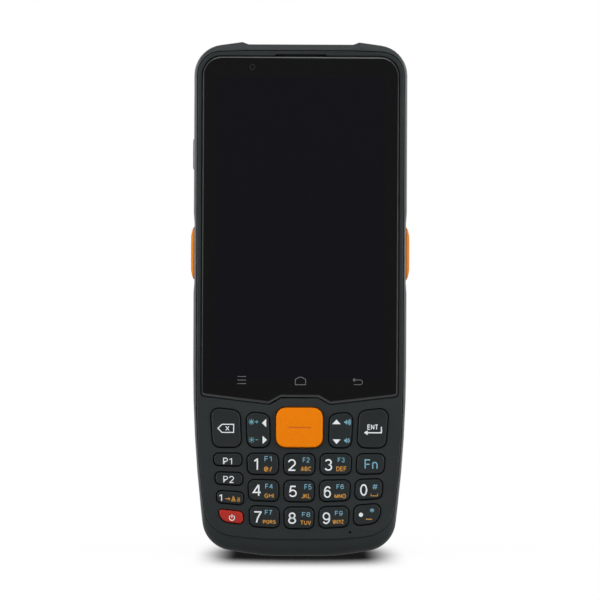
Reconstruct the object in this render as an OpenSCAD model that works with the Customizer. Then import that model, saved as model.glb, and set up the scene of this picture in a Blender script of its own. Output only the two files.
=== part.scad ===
// Portable barcode data terminal: a touch screen above a key pad, a scan key, two side triggers,
// a barcode imager that looks out of the upper end, and a battery behind a hinged door.
// Millimetres. It stands upright on its lower end: X runs to the right of the screen, Y from the
// screen to the back, Z up. The origin is the middle of the footprint, at the height of the foot.

/* [Cover glass] */
// Width of the cover glass
glass_w = 66.7; // [60:0.1:72]
// Height of the cover glass along its middle
glass_h = 115.7; // [100:0.1:125]
// Thickness of the cover glass
glass_t = 1; // [0.7:0.1:1.3]
// Radius of the upper corners of the glass
glass_r = 6.4; // [3:0.1:8]
// Width of the rounded edge of the glass
glass_edge_w = 0.9; // [0.3:0.05:1.1]
// Depth of the glass below the front face
glass_sunk = 0.15; // [0:0.05:0.3]
// Gap round the glass
glass_gap = 0.5; // [0.3:0.05:0.7]
// Width of the ledge that the glass is glued to
glass_ledge = 1.6; // [1:0.1:2]
// Border of the glass beside the lit area
screen_side = 4.35; // [3.9:0.05:6]
// Border of the glass above the lit area
screen_above = 7; // [6.5:0.1:12]
// Border of the glass below the lit area
screen_below = 5.7; // [4:0.1:12]

/* [Case] */
// Width of the bezel beside the glass
bezel_side = 1.15; // [0.8:0.05:2]
// Height of the bezel above the glass
bezel_top = 1.5; // [1.4:0.1:3]
// Width of the rear housing's rim beside the bezel
rim_side = 1.35; // [1.2:0.05:3]
// Height of the rear housing's rim above the bezel
rim_top = 2.5; // [1.6:0.1:3.5]
// Height of the two bumpers above the scan window
bumper_h = 0.8; // [0.4:0.05:2]
// Height of the sloping chin under the front housing
chin_h = 6; // [4:0.5:9]
// How much narrower the foot is than the case, at each side
foot_in = 4.25; // [3:0.05:6]
// Thickness of the case from its face to the back of the grip
grip_d = 18.8; // [18.7:0.1:21]
// Depth of the head behind the grip
head_d = 3.2; // [2.4:0.1:5]
// Radius of the long rear edges
rear_r = 3; // [2:0.25:3.5]
// Thickness of the front housing's face
face_t = 1.9; // [1.8:0.05:2.1]
// Thickness of the front housing's side walls
wall = 1.4; // [1.2:0.05:1.6]
// Width of the rear housing's ledge under the front housing
ledge = 1.2; // [1:0.05:1.4]
// Thickness of the rear housing's back wall
back_wall = 1.6; // [1.4:0.05:1.8]
// Groove between the front housing and the rim. It is a fifth as wide along the chin
seam = 0.25; // [0.05:0.05:0.3]
// Depth of the front housing's side walls behind its face
front_d = 4; // [3.9:0.05:4.1]

/* [Key pad] */
// Distance from the front housing's lower edge to the lowest keys
key_margin = 3.5; // [3:0.1:6]
// Height of a digit key
row_h = 7.5; // [6.5:0.1:8]
// Space between two rows of keys
row_gap = 1.65; // [1.5:0.05:2.5]
// Width of a digit key
digit_w = 10.8; // [9:0.1:12]
// Width of a key in the outer columns
outer_w = 9.7; // [8.5:0.1:11]
// Space between two columns of keys
column_gap = 1.7; // [1.6:0.05:2.5]
// Space under the upper row of keys
nav_gap = 1.8; // [1.5:0.1:3]
// Height of the upper row at the middle of the pad
nav_h = 10.35; // [9:0.05:12]
// Width of a rocker key
rocker_w = 7.85; // [7:0.05:8.8]
// Space between a rocker key and the outer key beside it
rocker_gap = 1.8; // [1.7:0.05:2.5]
// Width of the scan key
scan_w = 16.2; // [15:0.1:18.5]
// Height of the scan key
scan_h = 13.9; // [12:0.1:14.2]
// Corner radius of the digit keys
digit_r = 2.1; // [1:0.1:2.2]
// Corner radius of the keys of the upper row
nav_r = 2.7; // [1.5:0.1:3.2]
// Corner radius of the scan key
scan_r = 3.4; // [2:0.1:4.5]
// Corner radius of the small keys
small_r = 1.6; // [1:0.1:1.7]
// Share by which the pad narrows for each millimetre down
key_taper = 0.0025; // [0:0.0005:0.003]
// How strongly the rows of keys bow upwards at the sides
key_smile = 0.000095; // [0:0.000005:0.0001]
// Gap round a key
key_gap = 0.4; // [0.3:0.05:0.5]
// Height of the keys above the face
key_proud = 0.5; // [0.3:0.05:0.9]
// Height of the scan key above the face
scan_proud = 1; // [0.6:0.1:1.5]
// Travel of a key
key_travel = 0.5; // [0.3:0.05:0.5]
// Width of the flange that keeps a key in the case
key_flange = 0.4; // [0.2:0.05:0.4]
// Angle through which a rocker key tips
rocker_tip = 3; // [1:0.5:3]
// Slope of the lower edge of the glass and of the keys below it
slant = 0.12; // [0:0.01:0.14]
// Distance between the upper row of keys and the glass
nav_to_glass = 3.4; // [3.2:0.1:6]

/* [Side keys] */
// Length of a side trigger
trigger_l = 18; // [14:0.5:18.5]
// Width of a side trigger
trigger_w = 7.4; // [6:0.1:8]
// Height of a trigger above the hollow it sits in
trigger_proud = 1.35; // [0.8:0.05:1.5]
// Depth of the finger hollow round a trigger
hollow = 0.25; // [0.2:0.05:0.6]
// Distance from the lower edge of the head down to the middle of the triggers
trigger_below = 6.6; // [5:0.1:8]
// Travel of a side key
side_travel = 0.5; // [0.3:0.05:0.6]
// Length of the small side key
side_key_l = 11.6; // [9:0.1:14]
// Width of the small side key
side_key_w = 3.2; // [2.4:0.1:4]
// Height of the small side key above the case
side_key_proud = 0.55; // [0.3:0.05:0.6]
// Distance from the top of the case down to the middle of the small side key
side_key_below = 37.3; // [32:0.1:42]

/* [Battery and its door] */
// How far the battery door laps over the bay at each side
door_lap = 1.5; // [1.2:0.1:2]
// Lower edge of the battery door
door_z = 17; // [16.5:0.25:20]
// Distance from the upper edge of the door to the head
door_to_head = 4; // [3.5:0.25:8]
// Thickness of the battery door
door_t = 1.5; // [1.4:0.05:1.6]
// Gap round a lid
lid_gap = 0.25; // [0.2:0.05:0.3]
// Width of the battery
battery_w = 51.8; // [46:0.1:58]
// Height of the battery
battery_h = 76; // [66:0.5:86]
// Thickness of the battery
battery_t = 6.6; // [5:0.1:6.8]
// Space for the latch and the contacts below the battery
latch_room = 7; // [6.8:0.1:10]
// Width of the latch's thumb piece
latch_w = 12; // [9:0.5:16]
// Travel of the latch
latch_travel = 2; // [1.5:0.1:2.2]

/* [Imager, camera and socket] */
// Width of the scan window
window_w = 30; // [26:0.5:33]
// Depth of the scan window
window_d = 9.2; // [8:0.1:9.4]
// Thickness of the scan window
window_t = 0.9; // [0.7:0.05:1]
// Distance of the camera from the middle
camera_x = 13; // [12:0.5:16]
// Distance from the top of the case down to the camera, the lamp and the loudspeaker
camera_below = 22.6; // [20:0.1:26]
// Radius of the camera's ring
camera_r = 5; // [4:0.1:6]
// Radius of the lamp's lens
lamp_r = 1.8; // [1.2:0.1:2.2]
// Height of the middle of the socket and its cover
port_z = 68; // [66:0.5:70]
// Length of the socket's cover
port_l = 18; // [16:0.5:20]
// Width of the socket's cover from its free edge to its hinge
port_w = 7; // [6.8:0.1:7.2]
// Thickness of the socket's cover
port_t = 1.4; // [1.3:0.05:1.5]

/* [Hidden] */

// Steps of a large and of a small round corner
FINE = 9;
COARSE = 4;
$fn = 48;
// How far a cut runs past the surface that it opens
CUT = 1;
// Clearance between pieces that are assembled and don't move
FIT = 0.1;
// Radial clearance of a pin or screw
PIN_FIT = 0.05;

// Levels along Y, from the front to the back
key_crown = 0.08;
total_d = key_crown + scan_proud + grip_d + head_d;
face_y = -total_d / 2 + key_crown + scan_proud;
grip_y = face_y + grip_d;
back_y = grip_y + head_d;
part_y = face_y + front_d;
gasket_t = 0.4;
ledge_y = part_y + gasket_t;
rim_y = face_y + 0.5;
edge_y = face_y + 4.8;
rear_edge_y = grip_y - rear_r;
hollow_y = grip_y - back_wall;
chassis_t = 1;
chassis_y = ledge_y + chassis_t;
board_t = 1;
board_y = chassis_y + 0.8;
can_t = 1.1;
door_y = grip_y - door_t;
battery_play = 0.6;
bay_wall = 1;
bay_y = door_y - 0.8 - battery_t - FIT;
standoff_y = bay_y - bay_wall;
glass_y = face_y + glass_sunk;
display_y = glass_y + glass_t + 0.02;
display_t = 2.9;

// Heights of the key pad and of what lies above it
key_low = chin_h + key_margin;
key_high = key_low + 3 * row_h + 2 * row_gap;
nav_z = key_high + nav_gap;
nav_top = nav_z + nav_h;
slant_z = nav_top + nav_to_glass;
notch_top_w = 12.8;
notch_low_w = 20.8;
notch_h = 2.3;
notch_z = slant_z + slant * notch_low_w / 2;
glass_low = notch_z + notch_h;
glass_top = glass_low + glass_h;
front_top = glass_top + glass_gap + bezel_top;
rim_top_z = front_top + rim_top;
side_key_z = rim_top_z - side_key_below;
camera_z = rim_top_z - camera_below;
cavity_top = front_top - ledge;

// The battery sets the bay, the bay sets its door, and the head and the triggers lie above the door
door_lap_low = 2.4;
door_lap_high = 3;
bay_low = door_z + door_lap_low;
battery_z = bay_low + latch_room;
bay_high = battery_z + battery_h + battery_play;
door_top = bay_high + door_lap_high;
head_z = door_top + door_to_head;
trigger_z = head_z - trigger_below;
bay_half_w = battery_w / 2 + battery_play;
door_half_w = bay_half_w + door_lap;

// The case is as wide as the glass, the door with its screws or the key pad needs, at half its width
digit_pitch = digit_w + column_gap;
outer_pitch = digit_pitch + digit_w / 2 + column_gap + outer_w / 2;
pad_half_w = outer_pitch + outer_w / 2;
pad_side = 2.1;
screw_to_door = 2.4;
screw_to_side = 5.1;
glass_need = glass_w / 2 + glass_gap + bezel_side;
door_need = door_half_w + lid_gap + screw_to_door + screw_to_side - rim_side;
pad_need = pad_half_w + pad_side + foot_in - rim_side;
front_half_w = max(glass_need, door_need, pad_need);
case_half_w = front_half_w + rim_side;
hollow_half_w = case_half_w - hollow;
cavity_half_w = front_half_w - ledge;
foot_half_w = case_half_w - foot_in;
front_foot_in = 0.75;
front_foot_half_w = foot_half_w - front_foot_in;

// ---- Outlines: lists of [x, z, radius, steps], counter-clockwise as the front is seen ----

function point(v) = [v.x, v.y];
function inward(a, b) = let(d = (b - a) / norm(b - a)) [-d.y, d.x];

// The outline moved inwards by d, or outwards where d is negative
function inset(v, d) = let(n = len(v)) [
    for (i = [0:n - 1])
        let(
            a = point(v[(i + n - 1) % n]),
            b = point(v[i]),
            c = point(v[(i + 1) % n]),
            p = inward(a, b),
            q = inward(b, c),
            moved = b + (p + q) * d / (1 + p * q),
            reflex = cross(b - a, c - b) < 0
        )
        [moved.x, moved.y, v[i][2] == 0 ? 0 : max(0.1, v[i][2] + (reflex ? d : -d)), v[i][3]]
];

function rounded_corner(a, b, c, r, steps) =
    r == 0 ? [b] :
    let(
        u = (a - b) / norm(a - b),
        w = (c - b) / norm(c - b),
        half = acos(u * w) / 2,
        centre = b + (u + w) / norm(u + w) * r / sin(half),
        start = b + u * r / tan(half) - centre,
        from = atan2(start.y, start.x),
        sweep = (180 - 2 * half) * (cross(b - a, c - b) < 0 ? -1 : 1)
    )
    [for (i = [0:steps]) centre + r * [cos(from + sweep * i / steps), sin(from + sweep * i / steps)]];

// The points of an outline, with its corners as arcs
function rounded(v) = let(n = len(v)) [
    for (i = [0:n - 1])
        each rounded_corner(point(v[(i + n - 1) % n]), point(v[i]), point(v[(i + 1) % n]), v[i][2], v[i][3])
];

function mirrored(half) = concat(
    half,
    [for (i = [len(half) - 1:-1:0]) [-half[i].x, half[i].y, half[i][2], half[i][3]]]
);

// The outline between a and b. Its points below level have gone the share low, the others the share high
function blend(a, b, level, low, high) = [
    for (i = [0:len(a) - 1])
        let(share = b[i].y < level ? low : high, p = a[i] * (1 - share) + b[i] * share)
        [p.x, p.y, p[2], a[i][3]]
];

function rectangle(x0, x1, z0, z1, r, steps) =
    [[x0, z0, r, steps], [x1, z0, r, steps], [x1, z1, r, steps], [x0, z1, r, steps]];

foot_flat = 12.5;
front_foot_flat = 12;
foot_r = 10.8;
front_foot_r = 10;
face_foot_r = 13.5;
corner_rise = 3.2;
front_corner_rise = 1.8;
taper_z = 40.7;
taper_l = 23.9;
front_taper_l = 17.05;
hollow_reach = 10.2;
hollow_ramp = 3.5;
ramp_z = trigger_z + hollow_reach + hollow_ramp;
bumper_x = window_w / 2 + 4.9;
bumper_ramp = 2.05;
// The upper corners of the bezel and of the case follow those of the glass
bezel_corner = 1.4;
rim_corner = 2.6;
front_top_r = glass_r + bezel_corner;
top_r = front_top_r + rim_corner;
top_fall = 2.35;
front_top_fall = 0.6;

function side_points(half_w, waist) = [
    [half_w, trigger_z - hollow_reach - hollow_ramp, 0, 0],
    [waist, trigger_z - hollow_reach, 0, 0],
    [waist, trigger_z + hollow_reach, 0, 0],
    [half_w, ramp_z, 0, 0]
];
function bumper_points() = [
    [case_half_w, rim_top_z + bumper_h - top_fall, top_r, FINE],
    [bumper_x, rim_top_z + bumper_h, 0.6, 2],
    [bumper_x - bumper_ramp, rim_top_z, 0.8, 1]
];

// The radius of a bend that begins l from its corner, on a side that comes in by across over along
function bend_r(l, across, along) = l / tan(atan(across / along) / 2);

// The rear housing's largest outline
case_outline = mirrored(concat(
    [
        [foot_flat, 0, 60, 2],
        [foot_half_w, corner_rise, foot_r, FINE],
        [case_half_w, taper_z, bend_r(taper_l, foot_in, taper_z - corner_rise), COARSE]
    ],
    side_points(case_half_w, hollow_half_w),
    bumper_points()
));

// The front housing, which lies inside the rim. Its face has rounder lower corners than its sides
front_corner_z = chin_h + front_corner_rise;
front_bend_r = bend_r(front_taper_l, front_half_w - front_foot_half_w, taper_z - front_corner_z);
function front_shape(lower_r) = mirrored(concat(
    [
        [front_foot_flat, chin_h, 60, 2],
        [front_foot_half_w, front_corner_z, lower_r, FINE],
        [front_half_w, taper_z, front_bend_r, COARSE]
    ],
    side_points(front_half_w, front_half_w),
    [
        [front_half_w, front_top - front_top_fall, front_top_r, FINE],
        [bumper_x, front_top - 0.1, 0.6, 2],
        [bumper_x - bumper_ramp, front_top, 0.8, 1]
    ]
));
front_outline = front_shape(front_foot_r);
face_outline = front_shape(face_foot_r);

glass_outline = mirrored([
    [notch_top_w / 2, glass_low, 1, 2],
    [notch_low_w / 2, notch_z, 0.8, 2],
    [glass_w / 2, slant_z + slant * glass_w / 2, 1.2, COARSE],
    [glass_w / 2, glass_top, glass_r, FINE]
]);

// The head behind the grip, whose lower edge has risen by rise
function head_outline(rise) = mirrored(concat(
    [[hollow_half_w, head_z + rise, 0.3 + 1.2 * rise, COARSE], [case_half_w, ramp_z, 0, 0]],
    bumper_points()
));

// ---- Solids ----

// A straight solid from y0 to y1
module prism(outline, y0, y1) {
    translate([0, y1, 0]) rotate([90, 0, 0]) linear_extrude(y1 - y0) polygon(rounded(outline));
}

function centre_of(points) = [
    (min([for (p = points) p.x]) + max([for (p = points) p.x])) / 2,
    (min([for (p = points) p.y]) + max([for (p = points) p.y])) / 2
];

// A solid through rings of [outline, y], from the front to the back. crown raises the front's middle
module loft(rings, crown = 0) {
    loops = [for (ring = rings) rounded(ring[0])];
    n = len(loops[0]);
    last = len(rings) - 1;
    middle = centre_of(loops[0]);
    points = concat(
        [for (level = [0:last]) each [for (p = loops[level]) [p.x, rings[level][1], p.y]]],
        [[middle.x, rings[0][1] - crown, middle.y]]
    );
    sides = [
        for (level = [0:last - 1], i = [0:n - 1])
            let(a = level * n + i, b = level * n + (i + 1) % n)
            each [[a, b, b + n], [a, b + n, a + n]]
    ];
    front = [for (i = [0:n - 1]) [(last + 1) * n, (i + 1) % n, i]];
    back = [for (i = [0:n - 1]) last * n + i];
    polyhedron(points = points, faces = concat(sides, front, [back]));
}

module along_y(x, z, r, y0, y1) {
    translate([x, y1, z]) rotate([90, 0, 0]) cylinder(r = r, h = y1 - y0);
}

module along_x(y, z, r, x0, x1) {
    translate([x0, y, z]) rotate([0, 90, 0]) cylinder(r = r, h = x1 - x0);
}

module box(x0, x1, y0, y1, z0, z1) {
    translate([x0, y0, z0]) cube([x1 - x0, y1 - y0, z1 - z0]);
}

// A box on the right (side is 1) or on the left (side is -1)
module side_box(side, x0, x1, y0, y1, z0, z1) {
    box(min(side * x0, side * x1), max(side * x0, side * x1), y0, y1, z0, z1);
}

// A flat slot-shaped body along X, w long in Z and h thick in Y
module stadium(w, h, x0, x1, y, z) {
    for (s = [-1, 1]) along_x(y, z + s * (w - h) / 2, h / 2, x0, x1);
    box(x0, x1, y - h / 2, y + h / 2, z - (w - h) / 2, z + (w - h) / 2);
}

// ---- Key pad: a regular grid of keys, bent to the shape of the case ----

function bent(p) = [
    p.x * (1 - key_taper * (key_high - p.y)),
    p.y + key_smile * p.x * p.x * max(0, key_high - p.y)
];

// The outline of a key between x0, x1 and z0, z1 of the grid. The radii start at its lower left
// corner. lean is the slope at which its upper edge rises away from the middle of the pad
function key_outline(x0, x1, z0, z1, radii, lean = 0) = let(
    corners = [[x0, z0], [x1, z0], [x1, z1 + lean * abs(x1)], [x0, z1 + lean * abs(x0)]]
) [for (i = [0:3]) let(p = bent(corners[i])) [p.x, p.y, radii[i], radii[i] > nav_r ? FINE : COARSE]];

small_pitch = 6.87;
small_h = 4.75;
point_r = 0.58 * row_h;
power_r = 0.8 * small_h;
// The power key is shorter at both ends
power_shorter = 0.044 * outer_w;
function even(r) = [r, r, r, r];
function row_z(row) = key_low + (2 - row) * (row_h + row_gap);
function small_z(i) = key_high - small_h - i * small_pitch;

function digit_key(column, row) = key_outline(
    column * digit_pitch - digit_w / 2, column * digit_pitch + digit_w / 2,
    row_z(row), row_z(row) + row_h, even(digit_r)
);
function right_key(row, radii) = key_outline(
    outer_pitch - outer_w / 2, outer_pitch + outer_w / 2, row_z(row), row_z(row) + row_h, radii
);
function left_key(i, radii, shorter = 0) = key_outline(
    -outer_pitch - outer_w / 2 + shorter, -outer_pitch + outer_w / 2 - shorter,
    small_z(i), small_z(i) + small_h, radii
);
function nav_key(x0, x1) = key_outline(min(x0, x1), max(x0, x1), nav_z, nav_top, even(nav_r), slant);
rocker_x0 = scan_w / 2 + column_gap;
rocker_x1 = rocker_x0 + rocker_w;
corner_x0 = rocker_x1 + rocker_gap;

scan_outline = rectangle(-scan_w / 2, scan_w / 2, nav_z, nav_z + scan_h, scan_r, COARSE);

// Every key: [name, outline, height above the face, whether it is a rocker]
KEYS = concat(
    [
        ["key_scan", scan_outline, scan_proud, false],
        ["key_delete", nav_key(-corner_x0, -pad_half_w), key_proud, false],
        ["key_enter", nav_key(corner_x0, pad_half_w), key_proud, false],
        ["key_left_right", nav_key(-rocker_x0, -rocker_x1), key_proud, true],
        ["key_up_down", nav_key(rocker_x0, rocker_x1), key_proud, true]
    ],
    [
        for (row = [0:2], column = [-1:1])
            [str("key_", 3 * row + column + 2), digit_key(column, row), key_proud, false]
    ],
    [
        ["key_function", right_key(0, even(digit_r)), key_proud, false],
        ["key_0", right_key(1, even(digit_r)), key_proud, false],
        ["key_point", right_key(2, [digit_r, point_r, digit_r, digit_r]), key_proud, false],
        ["key_p1", left_key(0, even(small_r)), key_proud, false],
        ["key_p2", left_key(1, even(small_r)), key_proud, false],
        ["key_mode", left_key(2, even(small_r)), key_proud, false],
        ["key_power", left_key(3, [power_r, small_r, small_r, 0.9], power_shorter), key_proud, false]
    ]
);

flange_t = 0.4;
flange_y = face_y + face_t + FIT;
key_back_y = flange_y + flange_t;
// A rocker's flange lies deeper, so that it can tip
rocker_drop = (nav_h / 2 + 1.6) * tan(rocker_tip) + 0.02;
function drop(k) = k[3] ? rocker_drop : 0;

scan_bar_w = 7.8;
scan_bar_h = 0.45;
scan_bar_deep = 0.08;

module keycap(k) {
    cap = inset(k[1], key_gap / 2);
    front_y = face_y - k[2];
    loft(
        [
            [inset(cap, 0.6), front_y],
            [inset(cap, 0.2), front_y + 0.12],
            [cap, front_y + 0.45],
            [cap, flange_y + drop(k)]
        ],
        key_crown
    );
    prism(inset(k[1], -key_gap / 2 - key_flange), flange_y + drop(k), key_back_y + drop(k));
}

module key(name) {
    for (k = KEYS) if (k[0] == name) keycap(k);
}

module dark_key(name) {
    color("#2a2f30") key(name);
}

module key_scan() {
    bar_y = face_y - scan_proud;
    bar_z = nav_z + scan_h / 2;
    color("#e87c0f")
        difference() {
            key("key_scan");
            // The engraved bar in the middle of the scan key
            box(-scan_bar_w / 2, scan_bar_w / 2, bar_y - CUT, bar_y + scan_bar_deep,
                bar_z - scan_bar_h / 2, bar_z + scan_bar_h / 2);
        }
}

module key_power() {
    color("#a83030") key("key_power");
}

sheet_t = 0.4;
plunger_h = 0.5;
dome_h = 0.25;
dome_r = 1.7;
pad_board_t = 0.8;
mat_y = key_back_y + plunger_h;
pad_board_y = mat_y + sheet_t + dome_h;
pad_board_low = chin_h + wall + 1.2;
pad_board_high = slant_z + 0.6;
pad_board_half_w = front_foot_half_w - wall;
pad_board_outline = mirrored([
    [pad_board_half_w - 6.3, pad_board_low, 4, COARSE],
    [pad_board_half_w - 0.7, pad_board_low + 7, 4, COARSE],
    [pad_board_half_w, pad_board_high, 1, 2]
]);

// Where the switches lie: one under each key, two under each rocker
switch_reach = 4;
function key_middle(k) = let(v = k[1]) [
    (v[0].x + v[1].x + v[2].x + v[3].x) / 4,
    (v[0].y + v[1].y + v[2].y + v[3].y) / 4
];
function switch_places(k) = let(m = key_middle(k))
    k[3] ? [[m.x, m.y - switch_reach], [m.x, m.y + switch_reach]] : [m];

module keypad_mat() {
    color("dimgray") {
        prism(inset(pad_board_outline, 0.5), mat_y, mat_y + sheet_t);
        for (k = KEYS, m = switch_places(k))
            along_y(m.x, m.y, dome_r, key_back_y + drop(k), mat_y + sheet_t / 2);
    }
}

module keypad_board() {
    color("darkgreen") prism(pad_board_outline, pad_board_y, pad_board_y + pad_board_t);
}

module dome_switches() {
    color("silver")
        for (k = KEYS, m = switch_places(k)) along_y(m.x, m.y, dome_r, pad_board_y - dome_h, pad_board_y);
}

// ---- Front housing, gasket and chassis ----

mic_x = 17.4;
mic_r = 0.4;
mic_z = key_low - 1;
slot_w = 18.4;
slot_h = 0.7;
slot_z = glass_top + 0.2;
slot_outline = mirrored([[slot_w / 2, slot_z, 0, 0], [slot_w / 2 - slot_h, slot_z + slot_h, 0, 0]]);

face_edge = [[0.14, 0], [0.05, 0.12]];

module front_housing() {
    half_way = blend(face_outline, front_outline, 0, 0, 0.5);
    color("#2f3435")
        difference() {
            loft([
                [inset(face_outline, face_edge[0][0]), face_y + face_edge[0][1]],
                [inset(half_way, face_edge[1][0]), face_y + face_edge[1][1]],
                [front_outline, rim_y],
                [front_outline, part_y]
            ]);
            prism(inset(front_outline, wall), face_y + face_t, part_y + CUT);
            // The glass lies in a recess, and the display shows through a window in its floor
            prism(inset(glass_outline, -glass_gap), face_y - CUT, glass_y + glass_t);
            prism(inset(glass_outline, glass_ledge), face_y - CUT / 2, face_y + face_t + CUT);
            for (k = KEYS) prism(inset(k[1], -key_gap / 2), face_y - CUT, face_y + face_t + CUT);
            along_y(mic_x, mic_z, mic_r, face_y - CUT, face_y + face_t + CUT);
            prism(slot_outline, face_y - CUT / 4, face_y + face_t + CUT / 2);
        }
}

module housing_gasket() {
    color("black")
        difference() {
            prism(inset(front_outline, FIT), part_y, ledge_y);
            prism(inset(front_outline, ledge), part_y - CUT, ledge_y + CUT);
        }
}

screw_r = 0.9;
screw_head_r = 1.7;
screw_head_t = 1.2;
screw_sunk = 0.5;
screw_socket_r = 0.85;
screw_socket_t = 0.7;
pillar_r = 2.6;
foot_screw_in = 6.45;
foot_screw_rise = 6.6;
grip_screw_drop = 16.8;
head_screw_in = 9.6;
head_screw_drop = 10.7;
// Screws: [x, z, level of the surface that the head sinks into]
screws = [
    for (side = [-1, 1]) each [
        [side * (foot_half_w - foot_screw_in), chin_h + foot_screw_rise, grip_y],
        [side * (case_half_w - screw_to_side), trigger_z - grip_screw_drop, grip_y],
        [side * (case_half_w - head_screw_in), rim_top_z - head_screw_drop, back_y]
    ]
];
function in_head(s) = s[2] == back_y;

module housing_screws() {
    color("gray")
        for (s = screws)
            difference() {
                union() {
                    along_y(s.x, s.y, screw_r, chassis_y, s[2] - screw_sunk - screw_head_t);
                    along_y(s.x, s.y, screw_head_r, s[2] - screw_sunk - screw_head_t, s[2] - screw_sunk);
                }
                translate([s.x, s[2] - screw_sunk - screw_socket_t, s.y]) rotate([-90, 0, 0])
                    cylinder(r = screw_socket_r, h = CUT, $fn = 6);
            }
}

module screw_cut(s) {
    along_y(s.x, s.y, screw_r + PIN_FIT, standoff_y - CUT, s[2] + CUT);
    along_y(s.x, s.y, screw_head_r + 0.2, s[2] - screw_sunk - screw_head_t, s[2] + CUT);
}

// The imager, whose engine looks up through the scan window
engine_w = 22;
engine_h = 13;
engine_t = 7.8;
engine_y = -3.6;
engine_z = cavity_top - 2.4;

module chassis() {
    color("silver")
        difference() {
            union() {
                prism(inset(front_outline, ledge + 0.25), ledge_y, chassis_y);
                for (s = screws) along_y(s.x, s.y, 2, ledge_y, standoff_y - FIT);
                box(-engine_w / 2 + 1, engine_w / 2 - 1, ledge_y, engine_y,
                    engine_z - engine_h + 1, engine_z - 1);
                // Posts that carry the main board, with pegs through its holes
                for (x = peg_xs, z = peg_zs) {
                    along_y(x, z, peg_r + 0.8, ledge_y, board_y);
                    along_y(x, z, peg_r, ledge_y, board_y + board_t + 0.5);
                }
            }
            for (s = screws) along_y(s.x, s.y, screw_r + PIN_FIT, ledge_y + 0.4, standoff_y + CUT);
        }
}

// ---- Rear housing ----

hinge_r = door_t / 2 + 0.3;
hinge_y = grip_y - hinge_r;
hinge_z = door_top - hinge_r;
pin_r = 0.45;
pin_l = 5;
pin_in = 2.4;
hinge_bar = 2.5;
pin_x = door_half_w + lid_gap + pin_in - pin_l;
recess_y = door_y - FIT;
recess_wall = 1.1;

window_fit = 0.15;
window_seat = 1.1;

latch_t = 1.5;
tongue_t = 1.4;
plate_y = door_y - FIT - latch_t;
tongue_y = plate_y - tongue_t;
tongue_w = 14;
latch_fit = 0.2;
catch_floor = 1.4;

// The rim: [depth, share of the way from its lip to the case at the chin, the same above the chin].
// It is rounded everywhere, and falls away slowly at the chin
rim_lip = 0.1;
rim_shape = [[0, 0, 0], [0.3, 0.3, 0.34], [0.75, 0.52, 0.68], [1.4, 0.74, 0.9], [2.75, 0.93, 0.98]];

// The opening of the rim. The groove in it nearly closes round the chin, up to its corners
chin_share = 0.2;
rim_opening = blend(front_outline, inset(front_outline, -seam), front_corner_z + 1, chin_share, 1);

// The case without its openings
module rear_shell() {
    lip = inset(rim_opening, -rim_lip);
    loft([
        for (s = rim_shape) [blend(lip, case_outline, chin_h, s[1], s[2]), rim_y + s[0]],
        [case_outline, edge_y],
        [case_outline, rear_edge_y],
        for (a = [25, 50, 70, 90])
            [inset(case_outline, rear_r * (1 - cos(a))), rear_edge_y + rear_r * sin(a)]
    ]);
}

trigger_y = -0.3;
side_fit = 0.25;
side_flange = 0.6;
side_lip = 0.7;

// A side key as it is seen from its side. facing_side turns it there
function side_outline(side, w, l, z, r) =
    rectangle(side * trigger_y - w / 2, side * trigger_y + w / 2, z - l / 2, z + l / 2, r, COARSE);
function trigger_outline(side) = side_outline(side, trigger_w, trigger_l, trigger_z, 3);
side_key_outline = side_outline(-1, side_key_w, side_key_l, side_key_z, 1.4);

module facing_side(side) {
    rotate([0, 0, 90 * side]) children();
}

module side_opening(outline, side) {
    facing_side(side) prism(inset(outline, -side_fit), -case_half_w - CUT, -cavity_half_w + CUT);
}

// The crown of a side key: [inset from its outline, depth below its middle]
trigger_crown = [[0.43 * trigger_w, 0], [0.28 * trigger_w, 0.2], [0.11 * trigger_w, 0.5], [0, 0.95]];
side_key_crown = [[0.4 * side_key_w, 0], [0.16 * side_key_w, 0.18], [0, 0.75]];

module side_cap(outline, side, top_x, crown) {
    facing_side(side) {
        loft(
            [
                for (c = crown) [inset(outline, c[0]), -top_x + c[1]],
                [outline, -cavity_half_w + FIT]
            ],
            0.05
        );
        prism(inset(outline, -side_lip), -cavity_half_w + FIT, -cavity_half_w + FIT + side_flange);
    }
}

module trigger_left() {
    color("#d37420") side_cap(trigger_outline(-1), -1, hollow_half_w + trigger_proud, trigger_crown);
}

module trigger_right() {
    color("#d37420") side_cap(trigger_outline(1), 1, hollow_half_w + trigger_proud, trigger_crown);
}

module side_key() {
    color("#2a2f30") side_cap(side_key_outline, -1, case_half_w + side_key_proud, side_key_crown);
}

// The socket on the right side and its cover
port_y = board_y + board_t + 1.6;
port_hinge_r = port_t / 2;
port_hinge_y = port_y + 3.6;
port_face_x = case_half_w - 0.05;
port_hinge_x = port_face_x - port_hinge_r;
port_front_y = port_hinge_y - port_w;
port_low = port_z - port_l / 2;
port_pin_r = 0.3;
port_pin_in = 1.6;
socket_w = 8.9;
socket_h = 3.2;
socket_back_x = bay_half_w + bay_wall + 0.2;
socket_x = cavity_half_w - 0.05;
port_hole_w = socket_w + 2.7;
port_hole_front = 2.7;
port_hole_back = 2.1;

module port_pin(r) {
    translate([port_hinge_x, port_hinge_y, port_low - port_pin_in])
        cylinder(r = r, h = port_l + 2 * port_pin_in);
}

module port_cut() {
    box(port_face_x - port_t - FIT, case_half_w + CUT, port_front_y - lid_gap,
        port_hinge_y + port_hinge_r + lid_gap, port_low - lid_gap, port_low + port_l + lid_gap);
    box(cavity_half_w - CUT, case_half_w, port_y - port_hole_front, port_y + port_hole_back,
        port_z - port_hole_w / 2, port_z + port_hole_w / 2);
    port_pin(port_pin_r);
}

dock_r = 1;
dock_depth = 1.2;
dock_sunk = 0.3;
dock_pitch = 3.6;
dock_places = [for (i = [-2:2]) i * dock_pitch];

module dock_contacts() {
    color("gold")
        for (x = dock_places) translate([x, 0, dock_sunk]) cylinder(r = dock_r, h = dock_depth - dock_sunk);
}

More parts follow.
